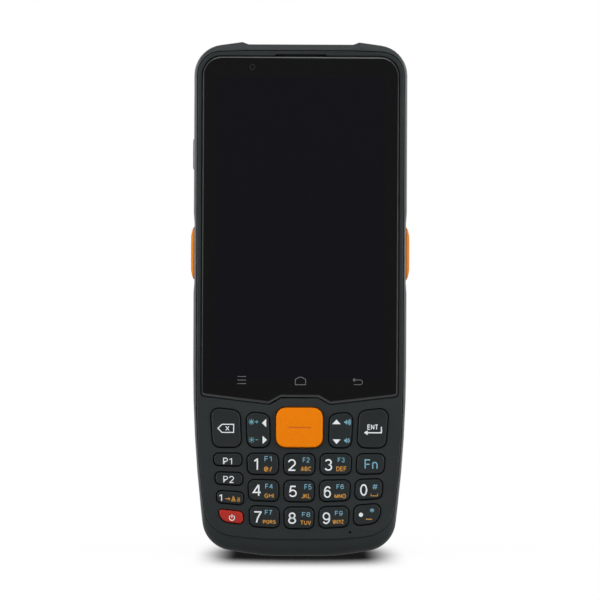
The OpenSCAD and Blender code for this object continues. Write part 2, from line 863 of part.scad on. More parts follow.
module rear_hollow() {
    difference() {
        prism(inset(front_outline, ledge), ledge_y - CUT, hollow_y);
        // The battery's bay, the frame round its door, the bar of the hinge and the latch's catch
        box(-bay_half_w - bay_wall, bay_half_w + bay_wall, bay_y - bay_wall, grip_y,
            bay_low - bay_wall, bay_high + bay_wall);
        box(-door_half_w - recess_wall, door_half_w + recess_wall, recess_y - recess_wall, grip_y,
            door_z - recess_wall - 0.2, door_top + recess_wall + lid_gap);
        box(-pin_x - pin_l - 1, pin_x + pin_l + 1, hinge_y - hinge_bar, grip_y,
            hinge_z - hinge_bar, hinge_z + hinge_bar);
        box(-tongue_w / 2 - 1.5, tongue_w / 2 + 1.5, tongue_y - 1.2, grip_y,
            door_z - latch_travel - 1, bay_low);
        // Pillars for the screws. Those of the head are tied to the side walls
        for (s = screws) {
            along_y(s.x, s.y, pillar_r, standoff_y, grip_y);
            if (in_head(s))
                side_box(sign(s.x), abs(s.x), cavity_half_w + CUT, standoff_y, grip_y, s.y - 1, s.y + 1);
        }
    }
}

module rear_housing() {
    color("#2f3435")
        difference() {
            rear_shell();
            prism(rim_opening, rim_y - CUT, ledge_y);
            rear_hollow();
            // The head is open to the back, and the head cover closes it
            box(-case_half_w - CUT, case_half_w + CUT, rear_edge_y, grip_y + CUT,
                head_z, rim_top_z + bumper_h + CUT);
            for (s = screws) screw_cut(s);
            // Battery bay, the recess for its door, the hollow for the hinge and the seats of its pins
            box(-bay_half_w, bay_half_w, bay_y, grip_y + CUT, bay_low, bay_high);
            prism(
                rectangle(-door_half_w - lid_gap, door_half_w + lid_gap,
                    door_z - lid_gap, door_top + lid_gap,
                    1.2, 2),
                recess_y, grip_y + CUT
            );
            box(-door_half_w - lid_gap, door_half_w + lid_gap, hinge_y - hinge_r - 0.3, grip_y + CUT / 2,
                hinge_z - hinge_r - 2.4, door_top + lid_gap);
            for (side = [-1, 1])
                translate([side * (pin_x + pin_l / 2), 0, 0])
                    along_x(hinge_y, hinge_z, pin_r, -pin_l / 2, pin_l / 2);
            // The catch behind the lip of the bay, which the latch's tongue enters
            box(-tongue_w / 2 - latch_fit, tongue_w / 2 + latch_fit,
                tongue_y - latch_fit, plate_y + latch_fit,
                door_z - latch_travel + catch_floor, bay_low + CUT);
            // Scan window and its seat
            box(-window_w / 2 - window_fit, window_w / 2 + window_fit,
                -window_d / 2 - window_fit, window_d / 2 + window_fit,
                rim_top_z - window_t - window_fit, rim_top_z + CUT);
            box(-window_w / 2 + window_seat, window_w / 2 - window_seat,
                -window_d / 2 + window_seat, window_d / 2 - window_seat,
                cavity_top - CUT, rim_top_z + CUT / 2);
            for (side = [-1, 1]) side_opening(trigger_outline(side), side);
            side_opening(side_key_outline, -1);
            port_cut();
            for (x = dock_places) translate([x, 0, -CUT]) cylinder(r = dock_r + FIT, h = CUT + dock_depth);
        }
}

// ---- Head cover with the rear camera, the lamp and the loudspeaker ----

head_wall = 1.6;
grille_pitch = 1.9;
grille_l = 9;
grille_w = 0.9;
grille_n = 5;
lamp_x = 0;
camera_seat_y = back_y - 1.2;
camera_body_r = camera_r - 1.3;
camera_window_r = camera_r - 0.95;
camera_ring_w = 0.9;

module head_cover() {
    head_y = grip_y + FIT;
    inner_y = back_y - head_wall;
    color("#2f3435")
        difference() {
            union() {
                difference() {
                    loft([
                        [head_outline(FIT), rear_edge_y],
                        [head_outline(FIT), head_y],
                        [inset(head_outline(0.9), 0.12), head_y + 0.9],
                        [inset(head_outline(1.8), 0.5), back_y - 1.2],
                        [inset(head_outline(2.3), 1), back_y - 0.55],
                        [inset(head_outline(2.6), 1.6), back_y - 0.18],
                        [inset(head_outline(2.8), 2.5), back_y]
                    ]);
                    prism(inset(head_outline(2.2), head_wall + 0.9), rear_edge_y - CUT, inner_y);
                }
                for (s = screws) if (in_head(s)) along_y(s.x, s.y, pillar_r, rear_edge_y, inner_y + 0.4);
                along_y(-camera_x, camera_z, camera_r + 1.2, camera_seat_y - 1.6, inner_y + 0.4);
            }
            for (s = screws) if (in_head(s)) screw_cut(s);
            along_y(-camera_x, camera_z, camera_r + FIT, camera_seat_y, back_y + CUT);
            along_y(-camera_x, camera_z, camera_body_r + FIT, rear_edge_y, back_y);
            along_y(lamp_x, camera_z, lamp_r + FIT, inner_y - CUT, back_y + CUT);
            for (i = [0:grille_n - 1])
                let(z = camera_z + (i - (grille_n - 1) / 2) * grille_pitch)
                prism(
                    rectangle(camera_x - grille_l / 2, camera_x + grille_l / 2,
                        z - grille_w / 2, z + grille_w / 2, grille_w / 2 - 0.01, 3),
                    inner_y - CUT, back_y + CUT
                );
        }
}

module rear_camera() {
    color("#181818") along_y(-camera_x, camera_z, camera_body_r, camera_seat_y - 5.2, camera_seat_y - 0.15);
}

module camera_window() {
    color("#101418") along_y(-camera_x, camera_z, camera_window_r, camera_seat_y, back_y - 0.35);
}

module camera_ring() {
    color("gray")
        difference() {
            along_y(-camera_x, camera_z, camera_r, camera_seat_y, back_y - 0.1);
            along_y(-camera_x, camera_z, camera_r - camera_ring_w, camera_seat_y - CUT, back_y + CUT);
        }
}

module lamp_lens() {
    color("lightyellow") along_y(lamp_x, camera_z, lamp_r, back_y - head_wall - 0.8, back_y - 0.1);
}

speaker_w = 13;
speaker_h = 11;
speaker_t = 3.4;

module loudspeaker() {
    color("#202020")
        box(camera_x - speaker_w / 2, camera_x + speaker_w / 2, back_y - head_wall - 0.2 - speaker_t,
            back_y - head_wall - 0.2, camera_z - speaker_h / 2, camera_z + speaker_h / 2);
}

// ---- Screen ----

// The rounded edge of the glass: [share of its width, depth]
glass_edge = [[1, 0], [0.5, 0.06], [0.14, 0.22], [0, 0.5]];

module cover_glass() {
    color("#161618")
        loft([
            for (e = glass_edge) [inset(glass_outline, e[0] * glass_edge_w), glass_y + e[1]],
            [glass_outline, glass_y + glass_t]
        ]);
}

display_rim = 1.3;
screen_z = glass_low + screen_below;
screen_w = glass_w - 2 * screen_side;
screen_h = glass_h - screen_above - screen_below;

module display_module() {
    color("black")
        box(-screen_w / 2 - display_rim, screen_w / 2 + display_rim, display_y, display_y + display_t,
            screen_z - display_rim, screen_z + screen_h + display_rim);
}

front_camera_x = 16.5;
front_camera_r = 1.1;
front_camera_t = 1.2;
front_camera_below = 3.5;

module front_camera() {
    camera_y = display_y + front_camera_t;
    color("#101014")
        along_y(-front_camera_x, glass_top - front_camera_below, front_camera_r, display_y, camera_y);
}

receiver_w = 13;
receiver_t = 2;
receiver_below = 1.4;

module receiver() {
    color("#202020")
        box(-receiver_w / 2, receiver_w / 2, flange_y, flange_y + receiver_t,
            glass_top - receiver_below, front_top - wall - FIT);
}

module microphone() {
    color("gold") along_y(mic_x, mic_z, mic_r + 0.15, flange_y, flange_y + 0.9);
}

// ---- Boards and what is on them ----

board_half_w = cavity_half_w - 5.95;
board_low = chin_h + 14;
board_high = engine_z - engine_h - 9.5;
socket_tab = 7;
peg_xs = [-22, 22];
peg_zs = [board_low + 4, board_high - 4];
peg_r = 1;

module main_board() {
    color("darkgreen")
        difference() {
            union() {
                box(-board_half_w, board_half_w, board_y, board_y + board_t, board_low, board_high);
                box(0, socket_x - 2, board_y, board_y + board_t, port_z - socket_tab, port_z + socket_tab);
            }
            for (x = peg_xs, z = peg_zs)
                along_y(x, z, peg_r + PIN_FIT, board_y - CUT, board_y + board_t + CUT);
        }
}

// Cans that screen the circuits: [x0, x1, z0, z1]
can_left = -20;
can_right = 18;
can_split = 2;
back_can_low = head_z + can_split;
back_can_high = board_high - 5 * can_split;
front_can_l = 40;
back_cans = [
    [can_left, -can_split, back_can_low, back_can_high],
    [can_split, can_right, back_can_low, back_can_high]
];
front_cans = [[can_left, can_right, board_low + front_can_l, board_low + 2 * front_can_l]];

module shield_cans() {
    color("lightgray") {
        for (c = back_cans) box(c[0], c[1], board_y + board_t, board_y + board_t + can_t, c[2], c[3]);
        for (c = front_cans) box(c[0], c[1], chassis_y + FIT, board_y, c[2], c[3]);
    }
}

motor_r = 4;
motor_t = 2.7;
motor_x = -12;
motor_z = head_z + 2 * motor_r;

module vibration_motor() {
    motor_y = board_y + board_t + can_t;
    color("silver") along_y(motor_x, motor_z, motor_r, motor_y, motor_y + motor_t);
}

switch_t = 2;
switch_h = 3.2;
switch_w = 4;
bracket_t = 0.8;
switches = [[1, trigger_z], [-1, trigger_z], [-1, side_key_z]];

// Each switch stands against a bracket that rises from the chassis
module side_switches() {
    stop_x = cavity_half_w - FIT - side_flange - side_travel - FIT;
    color("gold")
        for (s = switches) {
            side_box(s.x, stop_x - switch_t, stop_x, trigger_y - switch_h / 2, trigger_y + switch_h / 2,
                s.y - switch_w / 2, s.y + switch_w / 2);
            side_box(s.x, stop_x - switch_t - bracket_t, stop_x - switch_t,
                chassis_y, trigger_y + switch_h / 2,
                s.y - switch_w / 2, s.y + switch_w / 2);
        }
}

// ---- Battery, door and latch ----

battery_y = bay_y + FIT;
contact_pitch = 4;
contact_w = 2;
contact_l = 1.6;

module battery() {
    color("#303234")
        prism(rectangle(-battery_w / 2, battery_w / 2, battery_z, battery_z + battery_h, 1.5, COARSE),
            battery_y, battery_y + battery_t);
}

module battery_contacts() {
    color("gold")
        for (i = [-1:1])
            box(i * contact_pitch - contact_w / 2, i * contact_pitch + contact_w / 2, bay_y, bay_y + 2.2,
                battery_z - contact_l, battery_z);
}

module door_hinge_pins() {
    color("silver")
        for (side = [-1, 1])
            translate([side * (pin_x + pin_l / 2), 0, 0])
                along_x(hinge_y, hinge_z, pin_r, -pin_l / 2, pin_l / 2);
}

thumb_w = latch_w;
thumb_h = 5;
thumb_rise = 3.8;
thumb_z = bay_low + thumb_rise;
thumb_sunk = 0.5;
thumb_proud = 0.35;
ridge_proud = 0.65;
ridge_w = 0.6;
ridge_pitch = 1.4;
ridge_in = 1.5;
tongue_rise = 0.3;
plate_rise = 0.4;
neck_w = 5;
neck_h = 2.2;
groove_l = 15;
groove_pitch = 5;
groove_w = 1.4;
groove_n = 9;
groove_deep = 0.35;
groove_tilt = 14;
groove_in = 10.5;
groove_rise = 22;

module battery_door() {
    color("#2a2f30")
        difference() {
            union() {
                prism(rectangle(-door_half_w, door_half_w, door_z, hinge_z, 0.9, 2), door_y, grip_y);
                along_x(hinge_y, hinge_z, hinge_r, -door_half_w, door_half_w);
            }
            for (side = [-1, 1])
                translate([side * (door_half_w - pin_l / 2 + CUT), 0, 0])
                    along_x(hinge_y, hinge_z, pin_r + PIN_FIT, -pin_l / 2 - CUT, pin_l / 2 + CUT);
            // The slot for the latch's neck, and the shallow track for its thumb piece
            box(-neck_w / 2 - latch_fit, neck_w / 2 + latch_fit, door_y - CUT, grip_y + CUT,
                thumb_z - neck_h / 2 - latch_travel - latch_fit, thumb_z + neck_h / 2 + latch_fit);
            box(-thumb_w / 2 - latch_fit, thumb_w / 2 + latch_fit,
                grip_y - thumb_sunk - FIT, grip_y + CUT / 2,
                thumb_z - thumb_h / 2 - latch_travel - latch_fit, thumb_z + thumb_h / 2 + latch_fit);
            // Grooves that give the fingers hold
            for (side = [-1, 1], i = [0:groove_n - 1])
                translate([side * (door_half_w - groove_in), grip_y,
                    door_z + groove_rise + i * groove_pitch])
                    rotate([0, side * groove_tilt, 0])
                    box(-groove_l / 2, groove_l / 2, -groove_deep, CUT, -groove_w / 2, groove_w / 2);
        }
}

module battery_latch() {
    tongue_z = bay_low + tongue_rise;
    plate_z = bay_low + latch_travel + plate_rise;
    latch_top = thumb_z + thumb_h / 2;
    color("#3a4041") {
        // Thumb piece with three ridges, and the neck that goes through the door
        box(-thumb_w / 2, thumb_w / 2, grip_y - thumb_sunk, grip_y + thumb_proud,
            thumb_z - thumb_h / 2, thumb_z + thumb_h / 2);
        for (i = [-1:1])
            box(-thumb_w / 2 + ridge_in, thumb_w / 2 - ridge_in, grip_y + thumb_proud, grip_y + ridge_proud,
                thumb_z + i * ridge_pitch - ridge_w / 2, thumb_z + i * ridge_pitch + ridge_w / 2);
        box(-neck_w / 2, neck_w / 2, plate_y + latch_t, grip_y - thumb_sunk,
            thumb_z - neck_h / 2, thumb_z + neck_h / 2);
        // The plate that keeps it in the door, and the tongue that slides under the lip of the bay
        box(-tongue_w / 2, tongue_w / 2, plate_y, plate_y + latch_t, plate_z, latch_top);
        box(-tongue_w / 2, tongue_w / 2, tongue_y, plate_y, tongue_z, latch_top);
    }
}

// ---- Imager and scan window ----

module scan_window() {
    color("#3a0c10")
        box(-window_w / 2, window_w / 2, -window_d / 2, window_d / 2,
            rim_top_z - window_t - window_fit, rim_top_z - window_fit);
}

lens_x = 4;
lens_y = 0.3;
lens_r = 2.55;
aimers = [-3.5, -8];

module scan_engine() {
    color("#202428")
        difference() {
            box(-engine_w / 2, engine_w / 2, engine_y, engine_y + engine_t, engine_z - engine_h, engine_z);
            translate([lens_x, lens_y, engine_z - 2]) cylinder(r = lens_r + PIN_FIT, h = 2 + CUT);
            for (x = aimers) translate([x, lens_y, engine_z - 1]) cylinder(r = 1.5, h = 1 + CUT);
        }
}

module scan_lens() {
    color("#5060a0") translate([lens_x, lens_y, engine_z - 2]) cylinder(r = lens_r, h = 1.6);
}

// ---- Socket and its cover ----

socket_shell = 0.3;

module usb_socket() {
    color("silver")
        difference() {
            stadium(socket_w, socket_h, socket_back_x, socket_x, port_y, port_z);
            difference() {
                stadium(socket_w - 2 * socket_shell, socket_h - 2 * socket_shell,
                    socket_back_x + 0.6, socket_x + CUT, port_y, port_z);
                // The tongue that carries the contacts
                box(socket_back_x, socket_x - 0.8, port_y - 0.35, port_y + 0.35, port_z - 3.2, port_z + 3.2);
            }
        }
}

nail_w = 6;
nail_h = 0.7;
nail_deep = 0.5;
plug_w = 8.1;
plug_h = 2.4;
plug_t = 1.1;

module port_cover() {
    color("#2a2f30")
        difference() {
            union() {
                box(port_face_x - port_t, port_face_x, port_front_y, port_hinge_y,
                    port_low, port_low + port_l);
                translate([port_hinge_x, port_hinge_y, port_low]) cylinder(r = port_hinge_r, h = port_l);
                stadium(plug_w, plug_h, port_face_x - port_t - plug_t, port_face_x - port_t / 2,
                    port_y, port_z);
            }
            port_pin(port_pin_r + PIN_FIT);
            // The hollow for the fingernail
            box(port_face_x - nail_deep, port_face_x + CUT, port_front_y - CUT, port_front_y + nail_h,
                port_z - nail_w / 2, port_z + nail_w / 2);
        }
}

module port_hinge_pin() {
    color("silver") port_pin(port_pin_r);
}

front_housing();
rear_housing();
head_cover();
housing_gasket();
housing_screws();
chassis();
cover_glass();
display_module();
front_camera();
receiver();
microphone();
keypad_mat();
keypad_board();
dome_switches();
main_board();
shield_cans();
vibration_motor();
side_switches();
battery();
battery_contacts();
battery_door();
door_hinge_pins();
battery_latch();
scan_window();
scan_engine();
scan_lens();
rear_camera();
camera_window();
camera_ring();
lamp_lens();
loudspeaker();
usb_socket();
port_cover();
port_hinge_pin();
dock_contacts();
trigger_left();
trigger_right();
side_key();
key_scan();
key_power();
dark_key("key_delete");  // key_delete
dark_key("key_enter");  // key_enter
dark_key("key_left_right");  // key_left_right
dark_key("key_up_down");  // key_up_down
dark_key("key_1");  // key_1
dark_key("key_2");  // key_2
dark_key("key_3");  // key_3
dark_key("key_4");  // key_4
dark_key("key_5");  // key_5
dark_key("key_6");  // key_6
dark_key("key_7");  // key_7
dark_key("key_8");  // key_8
dark_key("key_9");  // key_9
dark_key("key_function");  // key_function
dark_key("key_0");  // key_0
dark_key("key_point");  // key_point
dark_key("key_p1");  // key_p1
dark_key("key_p2");  // key_p2
dark_key("key_mode");  // key_mode
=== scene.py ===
# %% [markdown]
# # A portable barcode data terminal
#
# The object is a hand-held computer for a shop or a store room: a touch screen above a key pad, a
# wide scan key, two triggers in the sides and an imager that looks out of the upper end. Its solids
# come from CAD and already have the right sizes, so this script is about its finish: moulded
# plastic, printed legends, dark glass, light and a camera. All lengths are in metres.

import math

import bmesh
import bpy
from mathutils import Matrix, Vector
from mathutils.bvhtree import BVHTree


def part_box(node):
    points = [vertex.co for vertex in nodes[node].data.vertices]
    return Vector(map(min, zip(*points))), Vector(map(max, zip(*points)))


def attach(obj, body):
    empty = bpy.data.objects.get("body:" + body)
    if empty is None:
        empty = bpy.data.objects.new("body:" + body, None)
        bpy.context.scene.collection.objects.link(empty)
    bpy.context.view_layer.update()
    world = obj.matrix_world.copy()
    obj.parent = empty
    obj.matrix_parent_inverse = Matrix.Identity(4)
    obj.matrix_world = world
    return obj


bpy.context.scene.view_settings.view_transform = "Standard"
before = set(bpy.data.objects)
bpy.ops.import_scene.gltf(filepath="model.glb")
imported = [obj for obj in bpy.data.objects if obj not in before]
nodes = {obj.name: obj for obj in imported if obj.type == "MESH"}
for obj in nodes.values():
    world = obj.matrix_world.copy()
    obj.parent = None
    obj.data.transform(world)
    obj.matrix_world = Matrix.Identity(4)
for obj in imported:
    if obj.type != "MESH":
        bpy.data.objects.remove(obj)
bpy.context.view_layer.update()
MM = 0.001

# %% [markdown]
# ## Working with shader nodes
#
# A material is a tree of nodes. A few small helpers keep the recipes below short: `place` adds a
# node and fills its sockets, either with a value or with a link from another node, `calculate` adds
# a Math node, `mapped` carries a value from one range into another, and `mixed` blends two colours.
# Paint colours are easier to choose as the 0 to 255 numbers of a colour picker, while the shader
# needs linear light, so `paint` converts them.

# %% Node helpers
def fill(tree, socket, value):
    if isinstance(value, bpy.types.NodeSocket):
        tree.links.new(value, socket)
    else:
        socket.default_value = value


def place(tree, kind, sockets=None, **settings):
    node = tree.nodes.new("ShaderNode" + kind)
    for key, value in settings.items():
        setattr(node, key, value)
    for key, value in (sockets or {}).items():
        fill(tree, node.inputs[key], value)
    return node


def calculate(tree, operation, a, b, clamp=False):
    return place(tree, "Math", {0: a, 1: b}, operation=operation, use_clamp=clamp).outputs[0]


def mapped(tree, value, source, target, **settings):
    """The value carried from the range source into the range target, each a pair (low, high)."""
    sockets = {0: value, 1: source[0], 2: source[1], 3: target[0], 4: target[1]}
    return place(tree, "MapRange", sockets, **settings).outputs[0]


def mixed(tree, share, a, b):
    node = place(tree, "Mix", {0: share}, data_type="RGBA")
    colour_a, colour_b = node.inputs[6], node.inputs[7]
    fill(tree, colour_a, a)
    fill(tree, colour_b, b)
    return node.outputs[2]


def paint(red, green, blue):
    def linear(c):
        c /= 255
        return c / 12.92 if c <= 0.04045 else ((c + 0.055) / 1.055) ** 2.4

    return (linear(red), linear(green), linear(blue), 1.0)


def brighter(colour, factor, add=0.0):
    return tuple(min(1.0, c * factor + add) for c in colour[:3]) + (1.0,)


print("paint(46, 50, 52) is", [round(c, 4) for c in paint(46, 50, 52)[:3]], "in linear light")

# %% [markdown]
# ## Effects that several materials share
#
# Grain, handling and worn edges come back in almost every material of this object. Each is a node
# group with named inputs and outputs, built once and placed with its own values. `new_group` makes
# an empty one, and `group_node` puts a group into a material.

# %% Group helpers
def new_group(name, inputs, outputs):
    """An empty shader node group. inputs is {name: default}, outputs a list of (name, kind)."""
    group = bpy.data.node_groups.new(name, "ShaderNodeTree")
    for label, default in inputs.items():
        made = group.interface.new_socket(label, in_out="INPUT", socket_type="NodeSocketFloat")
        made.default_value = default
    for label, kind in outputs:
        group.interface.new_socket(label, in_out="OUTPUT", socket_type="NodeSocket" + kind)
    start = group.nodes.new("NodeGroupInput")
    end = group.nodes.new("NodeGroupOutput")
    return group, start.outputs, end.inputs


def group_node(tree, group, sockets=None):
    node = tree.nodes.new("ShaderNodeGroup")
    node.node_tree = group
    for key, value in (sockets or {}).items():
        node.inputs[key].default_value = value
    return node.outputs


print("helpers: new_group, group_node")

# %% [markdown]
# ## Grain of a moulded part
#
# The steel mould of such a case is etched by sparks, and the plastic takes up its fine, matt, pebbled
# skin. It could be an image, but a mix of two noises needs no file, has no seams and stays the
# same size on every part, because it reads the object's own coordinates in metres. One group serves
# the case, the keys and the rubber, each with its own grain size.

# %% Shader group: moulded grain
def build_grain():
    group, given, out = new_group(
        "Moulded grain",
        {"Grains per metre": 3200.0, "Pitting": 0.5},
        [("Height", "Float"), ("Speckle", "Float")],
    )
    where = place(group, "TexCoord").outputs["Object"]
    scale = given["Grains per metre"]
    fine = place(
        group, "TexNoise", {"Vector": where, "Scale": scale, "Detail": 2.0, "Roughness": 0.6}
    ).outputs["Fac"]
    cells = place(
        group, "TexVoronoi", {"Vector": where, "Scale": scale, "Smoothness": 0.8}, feature="SMOOTH_F1"
    ).outputs["Distance"]
    pits = calculate(group, "MULTIPLY", cells, given["Pitting"])
    group.links.new(calculate(group, "SUBTRACT", fine, pits), out["Height"])
    group.links.new(fine, out["Speckle"])
    return group


GRAIN = build_grain()
print("group:", GRAIN.name)

# %% [markdown]
# ## Handling
#
# A part that hands hold for years isn't evenly matt: broad, soft patches are a little smoother and
# a little darker than the rest. Low noise, stretched over centimetres, gives that drift, and a finer
# one the small polished spots. Both are faint on purpose, since the object looks almost new.

# %% Shader group: handling
def build_handling():
    group, given, out = new_group(
        "Handling",
        {"Patches per metre": 38.0, "Contrast": 1.0},
        [("Tone", "Float"), ("Polish", "Float")],
    )
    where = place(group, "TexCoord").outputs["Object"]
    broad = place(
        group,
        "TexNoise",
        {"Vector": where, "Scale": given["Patches per metre"], "Detail": 5.0, "Distortion": 0.6},
    ).outputs["Fac"]
    centred = calculate(group, "SUBTRACT", broad, 0.5)
    group.links.new(calculate(group, "MULTIPLY", centred, given["Contrast"]), out["Tone"])
    scuffs = place(
        group, "TexNoise", {"Vector": where, "Scale": 420.0, "Detail": 6.0, "Roughness": 0.7}
    ).outputs["Fac"]
    group.links.new(mapped(group, scuffs, (0.52, 0.72), (0.0, 1.0)), out["Polish"])
    return group


HANDLING = build_handling()
TONE_RANGE = (-0.3, 0.3)
print("group:", HANDLING.name)

# %% [markdown]
# ## Rounded and rubbed edges
#
# No moulded edge is perfectly sharp, and its crest is the first thing to be rubbed smooth. The Bevel
# node gives the normal that a small round would have, without more faces. Where that normal leaves
# the true one, there is an edge, so the same node also makes the mask for the crest: its smoother
# roughness is wear, and the lighter colour the plastics give it is partly wear and partly a painted
# highlight.

# %% Shader group: soft edge
EDGE_RADIUS = 0.00018


def build_soft_edge():
    group, given, out = new_group(
        "Soft edge",
        {"Radius": EDGE_RADIUS, "Rubbed and highlit": 1.0},
        [("Edge", "Float"), ("Normal", "Vector")],
    )
    soft = place(group, "Bevel", {"Radius": given["Radius"]}, samples=6).outputs[0]
    true = place(group, "NewGeometry").outputs["Normal"]
    cosine = place(group, "VectorMath", {0: soft, 1: true}, operation="DOT_PRODUCT").outputs["Value"]
    turned = mapped(group, cosine, (0.999, 0.9), (0.0, 1.0))
    where = place(group, "TexCoord").outputs["Object"]
    broken = place(group, "TexNoise", {"Vector": where, "Scale": 900.0, "Detail": 3.0}).outputs["Fac"]
    uneven = mapped(group, broken, (0.35, 0.7), (0.35, 1.0))
    crest = calculate(group, "MULTIPLY", turned, uneven)
    group.links.new(calculate(group, "MULTIPLY", crest, given["Rubbed and highlit"], clamp=True), out["Edge"])
    group.links.new(soft, out["Normal"])
    return group


SOFT_EDGE = build_soft_edge()
print("group:", SOFT_EDGE.name)

# %% [markdown]
# ## Moulded plastic and rubber
#
# One function writes every plastic of the terminal from the three groups: the paint colour drifts
# with handling and lightens on the edge crests, partly as wear and partly as a painted highlight, the
# roughness follows both, and the grain drives a Bump node on top of the soft edge's normal. Keys, case
# and rubber differ only in their numbers.

# %% Plastic
BLACK = (0.0, 0.0, 0.0, 1.0)
POLISH_SMOOTHS, CREST_SMOOTHS = 0.06, 0.12


def new_material(name):
    material = bpy.data.materials.new(name)
    material.use_nodes = True
    tree = material.node_tree
    return material, tree, tree.nodes["Principled BSDF"]


def moulded(name, colour, roughness, grains=3200.0, depth=0.00002, rubbed=0.5, drift=0.16, level=0.35,
            edge_radius=EDGE_RADIUS, crest=1.9):
    material, tree, shader = new_material(name)
    grain = group_node(tree, GRAIN, {"Grains per metre": grains})
    hands = group_node(tree, HANDLING)
    edge = group_node(tree, SOFT_EDGE, {"Rubbed and highlit": rubbed, "Radius": edge_radius})
    shade = mapped(tree, hands["Tone"], TONE_RANGE, (1 - drift, 1 + drift))
    speckled = mapped(tree, grain["Speckle"], (0.3, 0.7), (0.9, 1.1))
    strength = calculate(tree, "MULTIPLY", shade, speckled)
    base = paint(*colour)
    # half way from black to twice the colour is the colour itself
    half = calculate(tree, "MULTIPLY", strength, 0.5)
    toned = mixed(tree, half, BLACK, tuple(c * 2 for c in base[:3]) + (1.0,))
    # painted highlight: the crest colour is the base lightened by crest, partly wear and partly the light a
    # rounded edge catches
    crest_wear_and_highlight = brighter(base, crest, add=0.004)
    tree.links.new(mixed(tree, edge["Edge"], toned, crest_wear_and_highlight), shader.inputs["Base Color"])
    polished = calculate(tree, "MULTIPLY", hands["Polish"], -POLISH_SMOOTHS)
    rough = calculate(tree, "ADD", polished, roughness)
    rubbed_smooth = calculate(tree, "MULTIPLY", edge["Edge"], CREST_SMOOTHS)
    rough = calculate(tree, "SUBTRACT", rough, rubbed_smooth, clamp=True)
    tree.links.new(rough, shader.inputs["Roughness"])
    bump = place(
        tree,
        "Bump",
        {"Height": grain["Height"], "Distance": depth, "Strength": 0.7, "Normal": edge["Normal"]},
    )
    tree.links.new(bump.outputs[0], shader.inputs["Normal"])
    shader.inputs["Specular IOR Level"].default_value = level
    return material


print("recipe: moulded")

# %% [markdown]
# ## The plastics of this object
#
# The case and the front plate are dark grey and matt, and the keys are a little finer in grain. The
# orange parts have hardly any gloss, so that they keep their colour under the soft boxes; the triggers
# take a darker orange than the scan key, which is painted shade for their place on the sides. Inside
# are a rubber gasket, a silicone key mat and the wrap of the battery.

# %% Plastics
FINE = 0.000008

finish = {
    "housing": moulded("housing", (35, 40, 41), 0.5, grains=3000.0, depth=FINE, rubbed=0.3, level=0.28),
    "face_plate": moulded("face_plate", (36, 41, 42), 0.52, grains=3000.0, rubbed=0.25, level=0.24,
                          edge_radius=0.0001, crest=1.5),
    "key_dark": moulded("key_dark", (32, 37, 38), 0.42, grains=4200.0, depth=FINE, drift=0.1, level=0.26),
    "soft_plastic": moulded("soft_plastic", (36, 39, 41), 0.62, grains=2600.0),
    "scan_orange": moulded("scan_orange", (231, 123, 0), 0.45, grains=4200.0, depth=FINE, drift=0.05,
                           crest=1.15, level=0.12),
    # painted shade: the triggers' orange is darker than the scan key's, for the shade on the sides where
    # they sit
    "trigger_orange": moulded("trigger_orange", (184, 103, 0), 0.6, grains=3400.0, drift=0.07,
                              crest=1.1, level=0.015),
    "power_red": moulded("power_red", (170, 45, 36), 0.42, grains=4200.0, depth=FINE, drift=0.06,
                         crest=1.3, level=0.2),
    "gasket": moulded("gasket", (20, 20, 21), 0.75, grains=2200.0),
    "silicone": moulded("silicone", (95, 98, 100), 0.65, grains=2400.0),
    "black_plastic": moulded("black_plastic", (24, 25, 27), 0.5, grains=3600.0),
    "battery_wrap": moulded("battery_wrap", (48, 50, 52), 0.4, grains=1800.0, depth=0.000012),
}
print("plastics:", ", ".join(finish))

# %% [markdown]
# ## Finger marks
#
# Glass that is touched all day carries a thin film of grease. It has no colour of its own and is
# only seen where the mirror image goes dull, so the group changes nothing but the roughness. Two
# noises are multiplied, a broad one for where fingers land and a streaky one for the wiping.

# %% Shader group: finger marks
def build_marks():
    group, given, out = new_group(
        "Finger marks", {"Clean": 0.03, "Marked": 0.05}, [("Roughness", "Float")]
    )
    where = place(group, "TexCoord").outputs["Object"]
    broad = place(group, "TexNoise", {"Vector": where, "Scale": 45.0, "Detail": 3.0, "Distortion": 1.4})
    streak = place(group, "TexNoise", {"Vector": where, "Scale": 260.0, "Detail": 6.0, "Distortion": 2.0})
    both = calculate(group, "MULTIPLY", broad.outputs["Fac"], streak.outputs["Fac"])
    made = mapped(group, both, (0.2, 0.42), (given["Clean"], given["Marked"]))
    group.links.new(made, out["Roughness"])
    return group


MARKS = build_marks()
print("group:", MARKS.name)

# %% [markdown]
# ## Dark glass
#
# The cover glass is one sheet, printed black on its back round the display, which is switched off.
# It could be clear glass over a black block, but a mirror-smooth black surface renders the same with
# less noise. A mask in the object's own coordinates separates the display, a touch bluer, from the
# printed border. The edge of the sheet is ground, so wherever the surface turns away from the front
# it becomes a matt grey, which draws the thin pale outline of the glass.

# %% Glasses
GLASS_HALF_W, _, GLASS_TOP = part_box("cover_glass")[1]
SCREEN_SIDE, SCREEN_ABOVE, SCREEN_LOW = 4.35 * MM, 7 * MM, 60.1 * MM
PRINT_BLUR = 0.12 * MM
GROUND_FACING, GROUND_ROUGHNESS = (-0.97, -0.85), 0.35


def within(tree, value, low, high, blur=PRINT_BLUR):
    """1 between low and high, with a soft step at each end."""
    rise = mapped(tree, value, (low - blur, low + blur), (0.0, 1.0))
    fall = mapped(tree, value, (high - blur, high + blur), (1.0, 0.0))
    return calculate(tree, "MULTIPLY", rise, fall)


